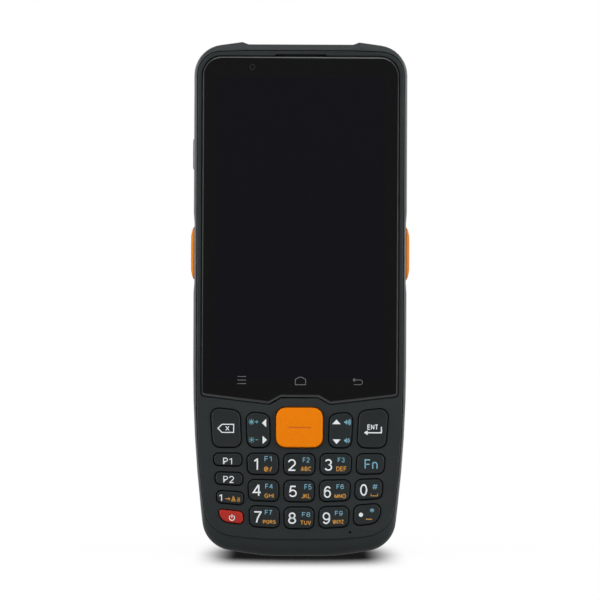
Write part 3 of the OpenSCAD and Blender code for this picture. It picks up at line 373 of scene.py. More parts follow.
def cover_glass():
    material, tree, shader = new_material("cover_glass")
    coordinates = place(tree, "TexCoord").outputs
    axes = place(tree, "SeparateXYZ", {0: coordinates["Object"]}).outputs
    across = within(tree, axes["X"], -GLASS_HALF_W + SCREEN_SIDE, GLASS_HALF_W - SCREEN_SIDE)
    along = within(tree, axes["Z"], SCREEN_LOW, GLASS_TOP - SCREEN_ABOVE)
    display = calculate(tree, "MULTIPLY", across, along)
    colour = mixed(tree, display, paint(17, 17, 17), paint(16, 16, 21))
    facing = place(tree, "SeparateXYZ", {0: coordinates["Normal"]}).outputs["Y"]
    ground = mapped(tree, facing, GROUND_FACING, (0.0, 1.0))
    tree.links.new(mixed(tree, ground, colour, paint(92, 94, 96)), shader.inputs["Base Color"])
    marks = group_node(tree, MARKS)
    matt = calculate(tree, "MULTIPLY", ground, GROUND_ROUGHNESS)
    tree.links.new(calculate(tree, "ADD", marks["Roughness"], matt), shader.inputs["Roughness"])
    shader.inputs["IOR"].default_value = 1.5
    return material


def dark_glass(name, colour, clean, marked, level=0.5):
    material, tree, shader = new_material(name)
    marks = group_node(tree, MARKS, {"Clean": clean, "Marked": marked})
    hands = group_node(tree, HANDLING, {"Patches per metre": 160.0})
    base = paint(*colour)
    share = mapped(tree, hands["Tone"], TONE_RANGE, (0.0, 1.0))
    tree.links.new(mixed(tree, share, brighter(base, 0.8), base), shader.inputs["Base Color"])
    tree.links.new(marks["Roughness"], shader.inputs["Roughness"])
    shader.inputs["Specular IOR Level"].default_value = level
    return material


finish["cover_glass"] = cover_glass()
finish["display"] = dark_glass("display", (14, 14, 17), 0.1, 0.16)
finish["lens_glass"] = dark_glass("lens_glass", (12, 14, 22), 0.02, 0.04, level=0.25)
finish["red_window"] = dark_glass("red_window", (58, 10, 14), 0.05, 0.12, level=0.25)
finish["lamp_lens"] = dark_glass("lamp_lens", (228, 220, 186), 0.2, 0.3)
print("glasses:", "cover_glass, display, lens_glass, red_window, lamp_lens")

# %% [markdown]
# ## Metals
#
# Rolled sheet, turned rings and plated contacts all carry fine lines in one direction. Stretching a
# noise along one axis draws them, and the same lines go into colour, roughness and bump.

# %% Shader group: drawn lines, and the metals
def build_lines():
    group, given, out = new_group(
        "Drawn lines",
        {"Lines per metre": 5000.0, "Length": 0.03},
        [("Height", "Float"), ("Shade", "Float")],
    )
    where = place(group, "TexCoord").outputs["Object"]
    stretch = place(group, "CombineXYZ", {"X": 1.0, "Y": 1.0, "Z": given["Length"]}).outputs[0]
    pulled = place(group, "VectorMath", {0: where, 1: stretch}, operation="MULTIPLY").outputs[0]
    drawn = place(
        group, "TexNoise", {"Vector": pulled, "Scale": given["Lines per metre"], "Detail": 3.0}
    ).outputs["Fac"]
    group.links.new(drawn, out["Height"])
    group.links.new(mapped(group, drawn, (0.3, 0.7), (0.0, 1.0)), out["Shade"])
    return group


LINES = build_lines()
LINE_CONTRAST = 0.06


def metal(name, colour, roughness, lines_per_metre=5000.0):
    material, tree, shader = new_material(name)
    drawn = group_node(tree, LINES, {"Lines per metre": lines_per_metre})
    edge = group_node(tree, SOFT_EDGE, {"Radius": 0.00012})
    base = paint(*colour)
    tree.links.new(mixed(tree, drawn["Shade"], brighter(base, 0.75), base), shader.inputs["Base Color"])
    spread = (roughness - LINE_CONTRAST, roughness + LINE_CONTRAST)
    tree.links.new(mapped(tree, drawn["Shade"], (0.0, 1.0), spread), shader.inputs["Roughness"])
    bump = place(
        tree,
        "Bump",
        {"Height": drawn["Height"], "Distance": 0.000004, "Strength": 0.5, "Normal": edge["Normal"]},
    )
    tree.links.new(bump.outputs[0], shader.inputs["Normal"])
    shader.inputs["Metallic"].default_value = 1.0
    return material


finish["light_alloy"] = metal("light_alloy", (170, 172, 175), 0.38)
finish["tinned_steel"] = metal("tinned_steel", (190, 192, 195), 0.3)
finish["steel"] = metal("steel", (120, 122, 125), 0.32)
finish["anodised_ring"] = metal("anodised_ring", (150, 153, 156), 0.3, lines_per_metre=9000.0)
finish["gold_contact"] = metal("gold_contact", (205, 165, 85), 0.22)
print("metals: light_alloy, tinned_steel, steel, anodised_ring, gold_contact")

# %% [markdown]
# ## Circuit board
#
# The boards are green solder mask over copper tracks, which show as a faint relief and a lighter
# green. Real tracks could be drawn one by one, but the boards are seen only when the case is taken
# apart, so the joints of a brick pattern stand in for them.

# %% Circuit board
def circuit_board():
    material, tree, shader = new_material("circuit_board")
    where = place(tree, "TexCoord").outputs["Object"]
    tracks = place(
        tree, "TexBrick", {"Vector": where, "Scale": 260.0, "Mortar Size": 0.06}, offset=0.37
    ).outputs["Fac"]
    colour = mixed(tree, tracks, paint(18, 70, 42), paint(40, 104, 60))
    tree.links.new(colour, shader.inputs["Base Color"])
    bump = place(tree, "Bump", {"Height": tracks, "Distance": 0.00003, "Strength": 0.6})
    tree.links.new(bump.outputs[0], shader.inputs["Normal"])
    shader.inputs["Roughness"].default_value = 0.3
    return material


finish["circuit_board"] = circuit_board()
print(len(finish), "finishes")

# %% [markdown]
# ## Dressing the CAD nodes
#
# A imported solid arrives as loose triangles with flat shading. A short geometry-node modifier joins
# their corners and marks only the real edges as sharp, and a Weighted Normal modifier keeps large
# flat faces flat. Modifiers leave the mesh itself alone, so every piece stays exactly where CAD put
# it. Each node then takes the finish that its record names, and the front plate gets its own.

# %% Weld, smooth and paint the nodes
SHARP_ANGLE = math.radians(32)
WELD_DISTANCE = 0.000002


def build_smoothing():
    tree = bpy.data.node_groups.new("Weld and smooth", "GeometryNodeTree")
    tree.interface.new_socket("Geometry", in_out="INPUT", socket_type="NodeSocketGeometry")
    tree.interface.new_socket("Geometry", in_out="OUTPUT", socket_type="NodeSocketGeometry")
    start = tree.nodes.new("NodeGroupInput")
    end = tree.nodes.new("NodeGroupOutput")
    plain = tree.nodes.new("GeometryNodeRemoveAttribute")
    plain.inputs["Name"].default_value = "custom_normal"
    weld = tree.nodes.new("GeometryNodeMergeByDistance")
    weld.inputs["Distance"].default_value = WELD_DISTANCE
    smooth = tree.nodes.new("GeometryNodeSetShadeSmooth")
    crease = tree.nodes.new("GeometryNodeSetShadeSmooth")
    crease.domain = "EDGE"
    crease.inputs["Shade Smooth"].default_value = False
    turn = tree.nodes.new("GeometryNodeInputMeshEdgeAngle")
    above = tree.nodes.new("FunctionNodeCompare")
    above.operation = "GREATER_THAN"
    above.inputs[1].default_value = SHARP_ANGLE
    link = tree.links.new
    link(start.outputs[0], plain.inputs[0])
    link(plain.outputs[0], weld.inputs[0])
    link(weld.outputs[0], smooth.inputs[0])
    link(smooth.outputs[0], crease.inputs[0])
    link(turn.outputs["Unsigned Angle"], above.inputs[0])
    link(above.outputs[0], crease.inputs["Selection"])
    link(crease.outputs[0], end.inputs[0])
    return tree


SMOOTHING = build_smoothing()


def smooth_edges(piece):
    weld = piece.modifiers.new("weld and smooth", "NODES")
    weld.node_group = SMOOTHING
    weighted = piece.modifiers.new("weighted normals", "WEIGHTED_NORMAL")
    weighted.keep_sharp = True


for name, node in nodes.items():
    slot_name = node.material_slots[0].material.name.split(".")[0]
    smooth_edges(node)
    node.material_slots[0].material = finish["face_plate" if name == "front_housing" else slot_name]
print("dressed", len(nodes), "nodes")

# %% [markdown]
# ## Printed legends
#
# The legends are laser-etched or printed ink, a few hundredths of a millimetre thick. A picture
# could carry them, but drawn outlines stay sharp at any distance. Each mark starts as a path in the
# plane of the keys, in millimetres, and `stroke` gives it a width.

# %% Paths and strokes
SHARPEST_MITRE = 0.35


def stroke(points, width, closed=False):
    """The outline of a line through the points, with mitred corners, as one or two loops."""
    count = len(points)
    points = [Vector(p) for p in points]
    sides = ([], [])
    for i, here in enumerate(points):
        ways = []
        if closed or i:
            ways.append((here - points[i - 1]).normalized())
        if closed or i < count - 1:
            ways.append((points[(i + 1) % count] - here).normalized())
        along = sum(ways, Vector((0, 0))).normalized()
        normal = Vector((-along.y, along.x))
        reach = width / 2 / max(SHARPEST_MITRE, normal.dot(Vector((-ways[0].y, ways[0].x))))
        sides[0].append(here + normal * reach)
        sides[1].append(here - normal * reach)
    if closed:
        return [sides[0], sides[1][::-1]]
    return [sides[0] + sides[1][::-1]]


def arc(x, z, radius, start, end, steps=24):
    turns = [math.radians(start + (end - start) * i / steps) for i in range(steps + 1)]
    return [(x + radius * math.cos(a), z + radius * math.sin(a)) for a in turns]


def circle(x, z, radius):
    return arc(x, z, radius, 0, 345, 23)


print("a circle has", len(circle(0, 0, 1)), "corners")

# %% [markdown]
# ## From outline to thin solid
#
# A 2D curve fills its own loops, also where one loop is a hole in another, so it saves the work of
# making faces by hand. Its mesh is then cut on a fine grid, because a large flat face couldn't bend
# over a crowned key.

# %% Filled shapes
INK = 0.012 * MM
GRID_STEP = 0.35


def as_mesh(curve):
    """The filled curve as triangles, by way of a short-lived object."""
    holder = bpy.data.objects.new("drawing", curve)
    bpy.context.scene.collection.objects.link(holder)
    seen = holder.evaluated_get(bpy.context.evaluated_depsgraph_get())
    mesh = bpy.data.meshes.new_from_object(seen)
    bpy.data.objects.remove(holder)
    bpy.data.curves.remove(curve)
    return mesh


def shape(loops):
    curve = bpy.data.curves.new("shape", "CURVE")
    curve.dimensions = "2D"
    curve.fill_mode = "BOTH"
    curve.extrude = INK / MM / 2
    for loop in loops:
        spline = curve.splines.new("POLY")
        spline.points.add(len(loop) - 1)
        for point, (x, z) in zip(spline.points, loop):
            point.co = (x, z, 0, 1)
        spline.use_cyclic_u = True
    return as_mesh(curve)


def sliced(mesh):
    """Cuts the faces of a drawing on a grid, so that it can bend over a crowned key."""
    cut = bmesh.new()
    cut.from_mesh(mesh)
    for axis in (0, 1):
        levels = [v.co[axis] for v in cut.verts]
        level, top = min(levels) + GRID_STEP, max(levels)
        normal = Vector([float(i == axis) for i in range(3)])
        while level < top:
            everything = cut.verts[:] + cut.edges[:] + cut.faces[:]
            bmesh.ops.bisect_plane(cut, geom=everything, plane_co=normal * level, plane_no=normal)
            level += GRID_STEP
    cut.to_mesh(mesh)
    cut.free()
    return mesh


print("ink is", INK / MM, "mm thick")

# %% [markdown]
# ## An alphabet of strokes
#
# Key legends use a plain engraver's alphabet: even lines and round bows, with no serifs. Any font
# would do, but a ready one brings its own line width, and small words need a heavier line than
# large digits. So each letter is a few paths in a box of height 1. A path is a bar with corners, a
# bow, which is a part of an ellipse, or a closed ring.

# %% Letters and digits as paths
CLOSED = "closed"


def bow(x, z, rx, rz, start, end, steps=12):
    return [(x + rx * p, z + rz * q) for p, q in arc(0, 0, 1, start, end, steps)]


def ring(x, z, rx, rz):
    return bow(x, z, rx, rz, 0, 342, 19) + [CLOSED]


def bar(*points):
    return list(points)


P_BOW = bar((0, 0), (0, 1), (0.34, 1)) + bow(0.34, 0.74, 0.26, 0.26, 90, -90, 8)[1:] + [(0, 0.48)]
LETTERS = {
    "0": [ring(0.3, 0.5, 0.3, 0.5)],
    "1": [bar((0.32, 0), (0.32, 1)), bar((0, 0.74), (0.32, 0.96))],
    "2": [bow(0.3, 0.7, 0.3, 0.3, 165, -35) + [(0.02, 0.0)], bar((-0.02, 0), (0.62, 0))],
    "3": [bow(0.28, 0.75, 0.26, 0.25, 160, -90), bow(0.28, 0.26, 0.3, 0.26, 90, -160)],
    "4": [bar((0.44, 1), (0, 0.3), (0.64, 0.3)), bar((0.46, 0), (0.46, 1))],
    "5": [bar((0.56, 1), (0.12, 1), (0.05, 0.5)) + bow(0.29, 0.31, 0.31, 0.31, 140, -155)[1:]],
    "6": [ring(0.31, 0.32, 0.31, 0.32), bow(0.35, 0.5, 0.35, 0.5, 42, 180) + [(0, 0.32)]],
    "7": [bar((0, 1), (0.62, 1)), bar((0.6, 1), (0.42, 0.7), (0.28, 0.36), (0.2, 0))],
    "8": [ring(0.3, 0.755, 0.25, 0.245), ring(0.3, 0.26, 0.3, 0.26)],
    "9": [ring(0.31, 0.68, 0.31, 0.32), bow(0.27, 0.5, 0.35, 0.5, -138, 0) + [(0.62, 0.68)]],
    "A": [bar((0, 0), (0.31, 1), (0.37, 1), (0.68, 0)), bar((0.13, 0.34), (0.55, 0.34))],
    "B": [bar((0, 0), (0, 1), (0.33, 1)) + bow(0.33, 0.765, 0.22, 0.235, 90, -90, 8)[1:] + [(0, 0.53)],
          bar((0, 0.53), (0.35, 0.53)) + bow(0.35, 0.265, 0.26, 0.265, 90, -90, 8)[1:] + [(0, 0)]],
    "C": [bow(0.36, 0.5, 0.36, 0.5, 48, 312)],
    "D": [bar((0, 0), (0, 1), (0.28, 1)) + bow(0.28, 0.5, 0.38, 0.5, 90, -90)[1:] + [CLOSED]],
    "E": [bar((0.58, 1), (0, 1), (0, 0), (0.6, 0)), bar((0, 0.52), (0.54, 0.52))],
    "F": [bar((0.56, 1), (0, 1), (0, 0)), bar((0, 0.5), (0.5, 0.5))],
    "G": [bow(0.37, 0.5, 0.37, 0.5, 48, 325) + [(0.7, 0.46), (0.42, 0.46)]],
    "H": [bar((0, 0), (0, 1)), bar((0.64, 0), (0.64, 1)), bar((0, 0.52), (0.64, 0.52))],
    "I": [bar((0, 0), (0, 1))],
    "J": [bar((0.42, 1), (0.42, 0.28)) + bow(0.21, 0.28, 0.21, 0.28, 0, -165, 8)[1:]],
    "K": [bar((0, 0), (0, 1)), bar((0.6, 1), (0, 0.36)), bar((0.2, 0.58), (0.64, 0))],
    "L": [bar((0, 1), (0, 0), (0.5, 0))],
    "M": [bar((0, 0), (0, 1)), bar((0.78, 0), (0.78, 1)), bar((0, 1), (0.36, 0.1), (0.42, 0.1), (0.78, 1))],
    "N": [bar((0, 0), (0, 1)), bar((0.66, 0), (0.66, 1)), bar((0, 1), (0.66, 0))],
    "O": [ring(0.39, 0.5, 0.39, 0.5)],
    "P": [P_BOW],
    "Q": [ring(0.39, 0.5, 0.39, 0.5), bar((0.46, 0.26), (0.76, 0))],
    "R": [P_BOW, bar((0.32, 0.48), (0.64, 0))],
    "S": [bow(0.32, 0.75, 0.27, 0.25, 30, 270) + bow(0.32, 0.25, 0.31, 0.25, 90, -150)[1:]],
    "T": [bar((0, 1), (0.68, 1)), bar((0.34, 1), (0.34, 0))],
    "U": [bar((0, 1), (0, 0.3)) + bow(0.32, 0.3, 0.32, 0.3, 180, 360)[1:] + [(0.64, 1)]],
    "V": [bar((0, 1), (0.31, 0), (0.37, 0), (0.68, 1))],
    "W": [bar((0, 1), (0.22, 0), (0.28, 0), (0.47, 0.95), (0.53, 0.95), (0.72, 0), (0.78, 0), (1, 1))],
    "X": [bar((0, 0), (0.62, 1)), bar((0, 1), (0.62, 0))],
    "Y": [bar((0, 1), (0.33, 0.47), (0.66, 1)), bar((0.33, 0.47), (0.33, 0))],
    "Z": [bar((0, 1), (0.6, 1)), bar((0.6, 1), (0, 0)), bar((0, 0), (0.62, 0))],
    "a": [bow(0.22, 0.53, 0.21, 0.19, 160, 0, 8) + [(0.43, 0)], ring(0.21, 0.2, 0.2, 0.2)],
    "n": [bar((0, 0.72), (0, 0)), bow(0.24, 0.45, 0.24, 0.27, 170, 0, 8) + [(0.48, 0)]],
    "@": [bow(0.45, 0.5, 0.45, 0.5, -30, 310), ring(0.43, 0.5, 0.2, 0.24)],
    ":": [bar((0, 0.62), (0, 0.8)), bar((0, 0), (0, 0.18))],
    "/": [bar((0, 0), (0.34, 1))],
    "#": [bar((0.16, 0), (0.3, 1)), bar((0.46, 0), (0.6, 1)),
          bar((0, 0.3), (0.72, 0.3)), bar((0.04, 0.7), (0.76, 0.7))],
    "*": [bar((0.4, 0), (0.4, 1)), bar((0, 0.25), (0.8, 0.75)), bar((0, 0.75), (0.8, 0.25))],
}
print(len(LETTERS), "letters, digits and signs")

# %% [markdown]
# ## Setting a word
#
# `word` puts the letters side by side, stretches them into the box of the real print and only then
# gives every path the same width, so that the line stays even however a letter is stretched.

# %% Words
LETTER_SPACE = 0.3


def points_of(path):
    return [p for p in path if p != CLOSED]


def word(text, x0, x1, z0, z1, width):
    """The letters of a word, in the box x0 to x1 and z0 to z1, as one mesh."""
    paths, edge = [], 0.0
    for letter in text:
        drawn = [(points_of(path), path[-1] == CLOSED) for path in LETTERS[letter]]
        paths += [([(edge + x, z) for x, z in points], closed) for points, closed in drawn]
        edge += max(x for points, closed in drawn for x, z in points) + LETTER_SPACE
    edge -= LETTER_SPACE
    half = width / 2
    scale = (x1 - x0 - width) / max(edge, 0.01)
    height = max(z for points, closed in paths for x, z in points)
    built = bmesh.new()
    for points, closed in paths:
        fitted = [(x0 + half + x * scale, z0 + half + z / height * (z1 - z0 - width)) for x, z in points]
        piece = shape(stroke(fitted, width, closed))
        built.from_mesh(piece)
        bpy.data.meshes.remove(piece)
    mesh = bpy.data.meshes.new(text)
    built.to_mesh(mesh)
    built.free()
    return mesh


def words(*rows):
    """Rows of (ink, text, left, right, foot, head, line width)."""
    return [(material, word(*row)) for material, *row in rows]


def strokes(material, width, *runs):
    return [(material, shape(stroke(run, width))) for run in runs]


def outline(material, width, points):
    return [(material, shape(stroke(points, width, closed=True)))]


def filled(material, points):
    return [(material, shape([points]))]


print("helpers: words, strokes, outline, filled")

# %% [markdown]
# ## Inks
#
# Print sits a little proud of the plastic and is slightly glossier. Its colour isn't perfectly even,
# because the plastic's grain shows through and much-used keys lose some of it. Signs are printed in
# a deeper blue than function names, and the glass carries two greys behind it.

# %% Inks
WORN_PLASTIC = paint(60, 64, 66)


def ink(name, colour, roughness=0.45):
    material, tree, shader = new_material(name)
    hands = group_node(tree, HANDLING, {"Patches per metre": 300.0})
    grain = group_node(tree, GRAIN, {"Grains per metre": 4200.0})
    thin = mapped(tree, grain["Speckle"], (0.35, 0.65), (0.12, 0.0))
    touched = calculate(tree, "MULTIPLY", hands["Polish"], 0.1)
    worn = calculate(tree, "ADD", thin, touched, clamp=True)
    tree.links.new(mixed(tree, worn, paint(*colour), WORN_PLASTIC), shader.inputs["Base Color"])
    rough = mapped(tree, hands["Tone"], TONE_RANGE, (roughness, roughness + 0.1))
    tree.links.new(rough, shader.inputs["Roughness"])
    shader.inputs["Specular IOR Level"].default_value = 0.3
    return material


WHITE = ink("ink_white", (232, 236, 238))
BLUE = ink("ink_blue", (104, 162, 176))
LIGHT_BLUE = ink("ink_light_blue", (126, 178, 198))
ORANGE = ink("ink_orange", (202, 143, 60))
GREY = ink("ink_grey", (104, 104, 104))
DIM = ink("ink_dim", (46, 47, 50))
ENGRAVED = ink("ink_engraved", (214, 108, 16), 0.6)
print("inks: white, two blues, orange, two greys and the engraved bar")

# %% [markdown]
# ## Pressing the print onto its key
#
# The keys are crowned, so flat print would float above some places and sink into others. Every
# corner of a drawing therefore looks for the surface behind it with a ray from the front, and stops
# just before it. The print then rides on the key's body and moves with it.

# %% Printing
LIFT = 0.5 * INK
IN_FRONT, BACKWARD = -0.05, Vector((0, 1, 0))


def print_on(name, body, carrier, marks):
    """One piece of print on a carrier node: marks are (ink, mesh), drawn in millimetres."""
    skin = BVHTree.FromObject(nodes[carrier], bpy.context.evaluated_depsgraph_get())
    mesh = bpy.data.meshes.new(name)
    built = bmesh.new()
    inks = []
    for material, drawn in marks:
        if material not in inks:
            inks.append(material)
            mesh.materials.append(material)
        first, first_face = len(built.verts), len(built.faces)
        built.from_mesh(sliced(drawn))
        built.verts.ensure_lookup_table()
        built.faces.ensure_lookup_table()
        for vertex in built.verts[first:]:
            x, z, depth = vertex.co.x * MM, vertex.co.y * MM, vertex.co.z * MM
            hit = skin.ray_cast(Vector((x, IN_FRONT, z)), BACKWARD)[0]
            vertex.co = (x, hit.y - LIFT - INK / 2 - depth, z)
        for face in built.faces[first_face:]:
            face.material_index = inks.index(material)
        bpy.data.meshes.remove(drawn)
    bmesh.ops.recalc_face_normals(built, faces=built.faces)
    built.to_mesh(mesh)
    built.free()
    piece = bpy.data.objects.new(name, mesh)
    bpy.context.scene.collection.objects.link(piece)
    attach(piece, body)


print("print stands", LIFT / MM, "mm off its key")

# %% [markdown]
# ## What stands on each digit key
#
# A digit key has a large white digit, a small blue function name at its upper right and the orange
# letters of a telephone pad at its lower right. Each of the three has its own box in millimetres
# on the pad, from left to right and from foot to head, because the rows lean a little with the shape
# of the case.

# %% Legends of the digit keys
DIGIT_LINE, NAME_LINE, LETTER_LINE = 0.49, 0.21, 0.26
DIGITS = {
    "1": ((-15.5, -14.0, 29.4, 33.8), (-11.8, -9.4, 32.5, 34.3), "@:/", (-12.0, -9.3, 29.0, 30.8)),
    "2": ((-3.9, -1.1, 29.3, 33.3), (1.2, 3.5, 32.2, 33.9), "ABC", (0.5, 4.1, 29.3, 30.8)),
    "3": ((8.6, 11.2, 29.4, 33.4), (13.1, 15.4, 32.3, 33.9), "DEF", (12.6, 16.1, 29.3, 30.9)),
    "4": ((-15.8, -12.8, 20.6, 24.8), (-11.5, -8.9, 23.2, 24.9), "GHI", (-11.8, -8.6, 20.1, 21.6)),
    "5": ((-3.5, -0.8, 20.4, 24.3), (1.8, 4.2, 23.0, 24.8), "JKL", (0.8, 3.9, 20.0, 21.6)),
    "6": ((8.4, 10.8, 20.2, 24.2), (12.7, 15.2, 23.2, 24.8), "MNO", (12.0, 15.9, 20.1, 21.6)),
    "7": ((-15.5, -12.5, 11.5, 15.6), (-11.6, -9.1, 14.4, 16.0), "PQRS", (-12.3, -7.9, 11.3, 12.6)),
    "8": ((-3.7, -1.0, 11.3, 15.2), (1.0, 3.8, 13.7, 15.3), "TUV", (0.4, 4.1, 11.0, 12.5)),
    "9": ((8.0, 10.6, 11.3, 15.3), (12.2, 14.8, 14.2, 15.8), "WXYZ", (11.4, 15.2, 11.4, 12.8)),
}
for digit, (digit_box, name_box, letters, letter_box) in DIGITS.items():
    key = "key_" + digit
    print_on("legend_" + key, key, key, words(
        (WHITE, digit, *digit_box, DIGIT_LINE),
        (LIGHT_BLUE, "F" + digit, *name_box, NAME_LINE),
        (ORANGE, letters, *letter_box, LETTER_LINE),
    ))
print("legends on", len(DIGITS), "digit keys")

# %% [markdown]
# ## Signs of the two rockers
#
# The left rocker sets the brightness and moves left and right, the right one sets the volume and
# moves up and down. A sun is a disc with eight short rays, and a speaker is a cone with a few arcs
# before it.

# %% Brightness, volume and arrows
SIGN_LINE, THIN_LINE, WAVE_LINE = 0.3, 0.22, 0.26


def sun(x, z, size, core):
    made = filled(BLUE, circle(x, z, size * core))
    for i in range(8):
        a = math.radians(45 * i)
        ray = [(x + reach * math.cos(a), z + reach * math.sin(a)) for reach in (size * 0.72, size)]
        made += strokes(BLUE, SIGN_LINE, ray)
    return made


def speaker(x, z, size, waves):
    neck, mouth, small = 0.4 * size, 0.95 * size, 0.28 * size
    made = filled(LIGHT_BLUE, [
        (x, z - small), (x + neck, z - small), (x + mouth, z - size),
        (x + mouth, z + size), (x + neck, z + small), (x, z + small),
    ])
    for i in range(waves):
        wave = arc(x + 0.8 * size, z, size * (0.6 + 0.45 * i), -48, 48, 8)
        made += strokes(LIGHT_BLUE, WAVE_LINE, wave)
    return made


def brightness_signs():
    x, z, arm = -14.5, 45.95, 0.5
    level, upright = [(x - arm, z), (x + arm, z)], [(x, z - arm), (x, z + arm)]
    minus = [(-14.85, 39.85), (-13.95, 39.85)]
    return (sun(-16.3, 45.9, 0.98, 0.55) + strokes(BLUE, SIGN_LINE, level, upright)
            + sun(-16.2, 39.8, 0.94, 0.44) + strokes(BLUE, THIN_LINE, minus)
            + filled(WHITE, [(-12.75, 45.55), (-11.3, 44.15), (-11.3, 46.95)])
            + filled(WHITE, [(-12.5, 38.4), (-11.0, 39.8), (-12.5, 41.2)]))


def volume_signs():
    return (speaker(15.25, 45.95, 0.92, 3) + speaker(15.2, 39.7, 0.95, 2)
            + filled(WHITE, [(11.15, 45.25), (14.0, 45.25), (12.57, 46.85)])
            + filled(WHITE, [(11.3, 40.1), (12.65, 38.5), (14.0, 40.1)]))


print("signs: sun, speaker, plus, minus and four arrow heads")

# %% [markdown]
# ## Signs of the other keys
#
# Delete, enter and power are common signs, each built from a few strokes. The keys of the side
# columns carry short words, and some a second sign that works together with the function key. The
# scan key has only an engraved bar.

# %% Legends of the other keys
WORD_LINE = 0.28


def delete_sign():
    tip, shoulder, back = -27.7, -26.3, -22.35
    low, middle, high = 42.3, 43.7, 45.05
    label = [(tip, middle), (shoulder, high), (back, high), (back, low), (shoulder, low)]
    return outline(WHITE, 0.32, label) + words((WHITE, "X", -25.2, -23.8, 42.9, 44.5, 0.29))


def enter_sign():
    level, corner, tip, barb = 42.4, 27.85, 21.9, 0.8
    return (words((WHITE, "ENT", 23.1, 26.8, 43.4, 45.2, WORD_LINE))
            + strokes(WHITE, 0.39, [(23.1, level), (corner, level), (corner, 44.4)])
            + filled(WHITE, [(tip, level), (23.2, level - barb), (23.2, level + barb)]))


def mode_sign():
    level, barb = 19.75, 0.55
    return (words((WHITE, "1", -27.3, -26.2, 18.8, 21.4, 0.32),
                  (ORANGE, "Aa", -23.1, -20.1, 18.75, 20.7, 0.2))
            + strokes(ORANGE, SIGN_LINE, [(-25.1, level), (-23.9, level)])
            + filled(ORANGE, [(-23.95, level - barb), (-23.3, level), (-23.95, level + barb)]))


def power_sign():
    x, z = -22.8, 13.3
    return (strokes(WHITE, 0.29, arc(x, z, 0.88, 125, 415, 28))
            + strokes(WHITE, WORD_LINE, [(x, z), (x, z + 1.15)]))


def zero_sign():
    left, right, low, high = 24.45, 26.65, 20.95, 21.7
    return (words((WHITE, "0", 20.7, 23.15, 20.95, 24.95, DIGIT_LINE),
                  (LIGHT_BLUE, "#", 24.8, 26.7, 23.1, 25.0, THIN_LINE))
            + strokes(ORANGE, 0.24, [(left, high), (left, low), (right, low), (right, high)]))


def point_sign():
    return (filled(WHITE, circle(21.0, 14.5, 0.72))
            + words((LIGHT_BLUE, "*", 24.0, 25.6, 15.2, 16.85, 0.26))
            + strokes(ORANGE, 0.34, [(22.7, 13.0), (24.8, 13.0)]))


SIGNS = {
    "key_delete": delete_sign(),
    "key_left_right": brightness_signs(),
    "key_up_down": volume_signs(),
    "key_enter": enter_sign(),
    "key_p1": words((WHITE, "P1", -25.9, -22.85, 31.35, 33.7, WORD_LINE)),
    "key_p2": words((WHITE, "P2", -25.8, -22.15, 25.15, 27.5, WORD_LINE)),
    "key_mode": mode_sign(),
    "key_power": power_sign(),
    "key_function": words((LIGHT_BLUE, "Fn", 22.2, 26.6, 30.0, 33.35, 0.38)),
    "key_0": zero_sign(),
    "key_point": point_sign(),
    "key_scan": strokes(ENGRAVED, 0.44, [(-3.8, 44.05), (3.8, 44.05)]),
}
for key, marks in SIGNS.items():
    print_on("legend_" + key, key, key, marks)
print("signs on", len(SIGNS), "keys")

# %% [markdown]
# ## Touch signs on the glass
#
# Three grey signs are printed behind the lower border of the glass: a menu, a house and a turning
# arrow. A dim ring surrounds the front camera. They are drawn like the legends and lie on the glass,
# which at this scale looks the same.

# %% Signs on the glass
def menu_sign():
    return strokes(GREY, THIN_LINE, *([(-21.1, z), (-18.2, z)] for z in (58.9, 60.1, 61.3)))


def house_sign():
    left, right, ground, eaves, ridge = -1.45, 2.05, 58.6, 60.4, 61.15
    walls = [(left, eaves), (-0.1, ridge), (0.7, ridge), (right, eaves), (right, ground), (left, ground)]
    return outline(GREY, 0.24, walls)


def turn_sign():
    start, bend, middle, radius = 18.5, 20.6, 59.5, 0.8
    high, low = middle + radius, middle - radius
    hook = [(start, high), (bend, high)] + arc(bend, middle, radius, 90, -90, 10)[1:] + [(start, low)]
    head = [(17.95, high), (18.8, high - 0.65), (18.8, high + 0.65)]
    return strokes(GREY, 0.2, hook) + filled(GREY, head)


camera_ring = outline(DIM, 0.14, circle(-16.5, 166.6, 0.85))
print_on("glass_signs", "case", "cover_glass", menu_sign() + house_sign() + turn_sign() + camera_ring)
print("three signs and a ring on the glass")

# %% [markdown]
# ## Floor
#
# The object stands on a white table in front of white. A plain white floor under studio lamps is the
# simplest floor, and away from the object it hands over to an even white, so that no horizon shows.
# The shadow under the foot is kept apart from the lamps: ambient occlusion says how much of the sky
# a point still sees, and a mask across the table keeps the dark core as wide as the foot.

# %% Shadow under the foot
FOOT_MIDDLE = 0.0003
CORE_HALF_WIDTH, SHADOW_HALF_WIDTH = 0.0215, 0.0372


def foot_shadow(tree, across, reach=0.045):
    """How dark the table is at the foot, from 0 to 1. across is the place from left to right."""
    crowded = place(tree, "AmbientOcclusion", {"Distance": reach}, samples=16).outputs["AO"]
    open_sky = mapped(tree, crowded, (0.62, 0.965), (0.1, 1.0))
    depth = calculate(tree, "SUBTRACT", 1.0, calculate(tree, "MULTIPLY", open_sky, open_sky))
    off_middle = calculate(tree, "ABSOLUTE", calculate(tree, "SUBTRACT", across, FOOT_MIDDLE), 0.0)
    widths = (CORE_HALF_WIDTH, SHADOW_HALF_WIDTH)
    width = mapped(tree, off_middle, widths, (1.0, 0.0), interpolation_type="SMOOTHSTEP")
    return calculate(tree, "MULTIPLY", depth, width)


print("shadow is", round(2 * SHADOW_HALF_WIDTH / MM, 1), "mm wide")

# %% [markdown]
# ## White table
#
# What glass and metal mirror is set apart from what the camera sees, with Light Path. The mirrored
# white fades close to the foot, where the object hides it from its own underside, and toward the
# dark room behind the camera, which keeps flat black glass black.

# %% White table
FLOOR_RADIUS = 0.75
TABLE_TONES, BOUNCED, SEEN = (0.792, 0.808), 0.52, 1.2


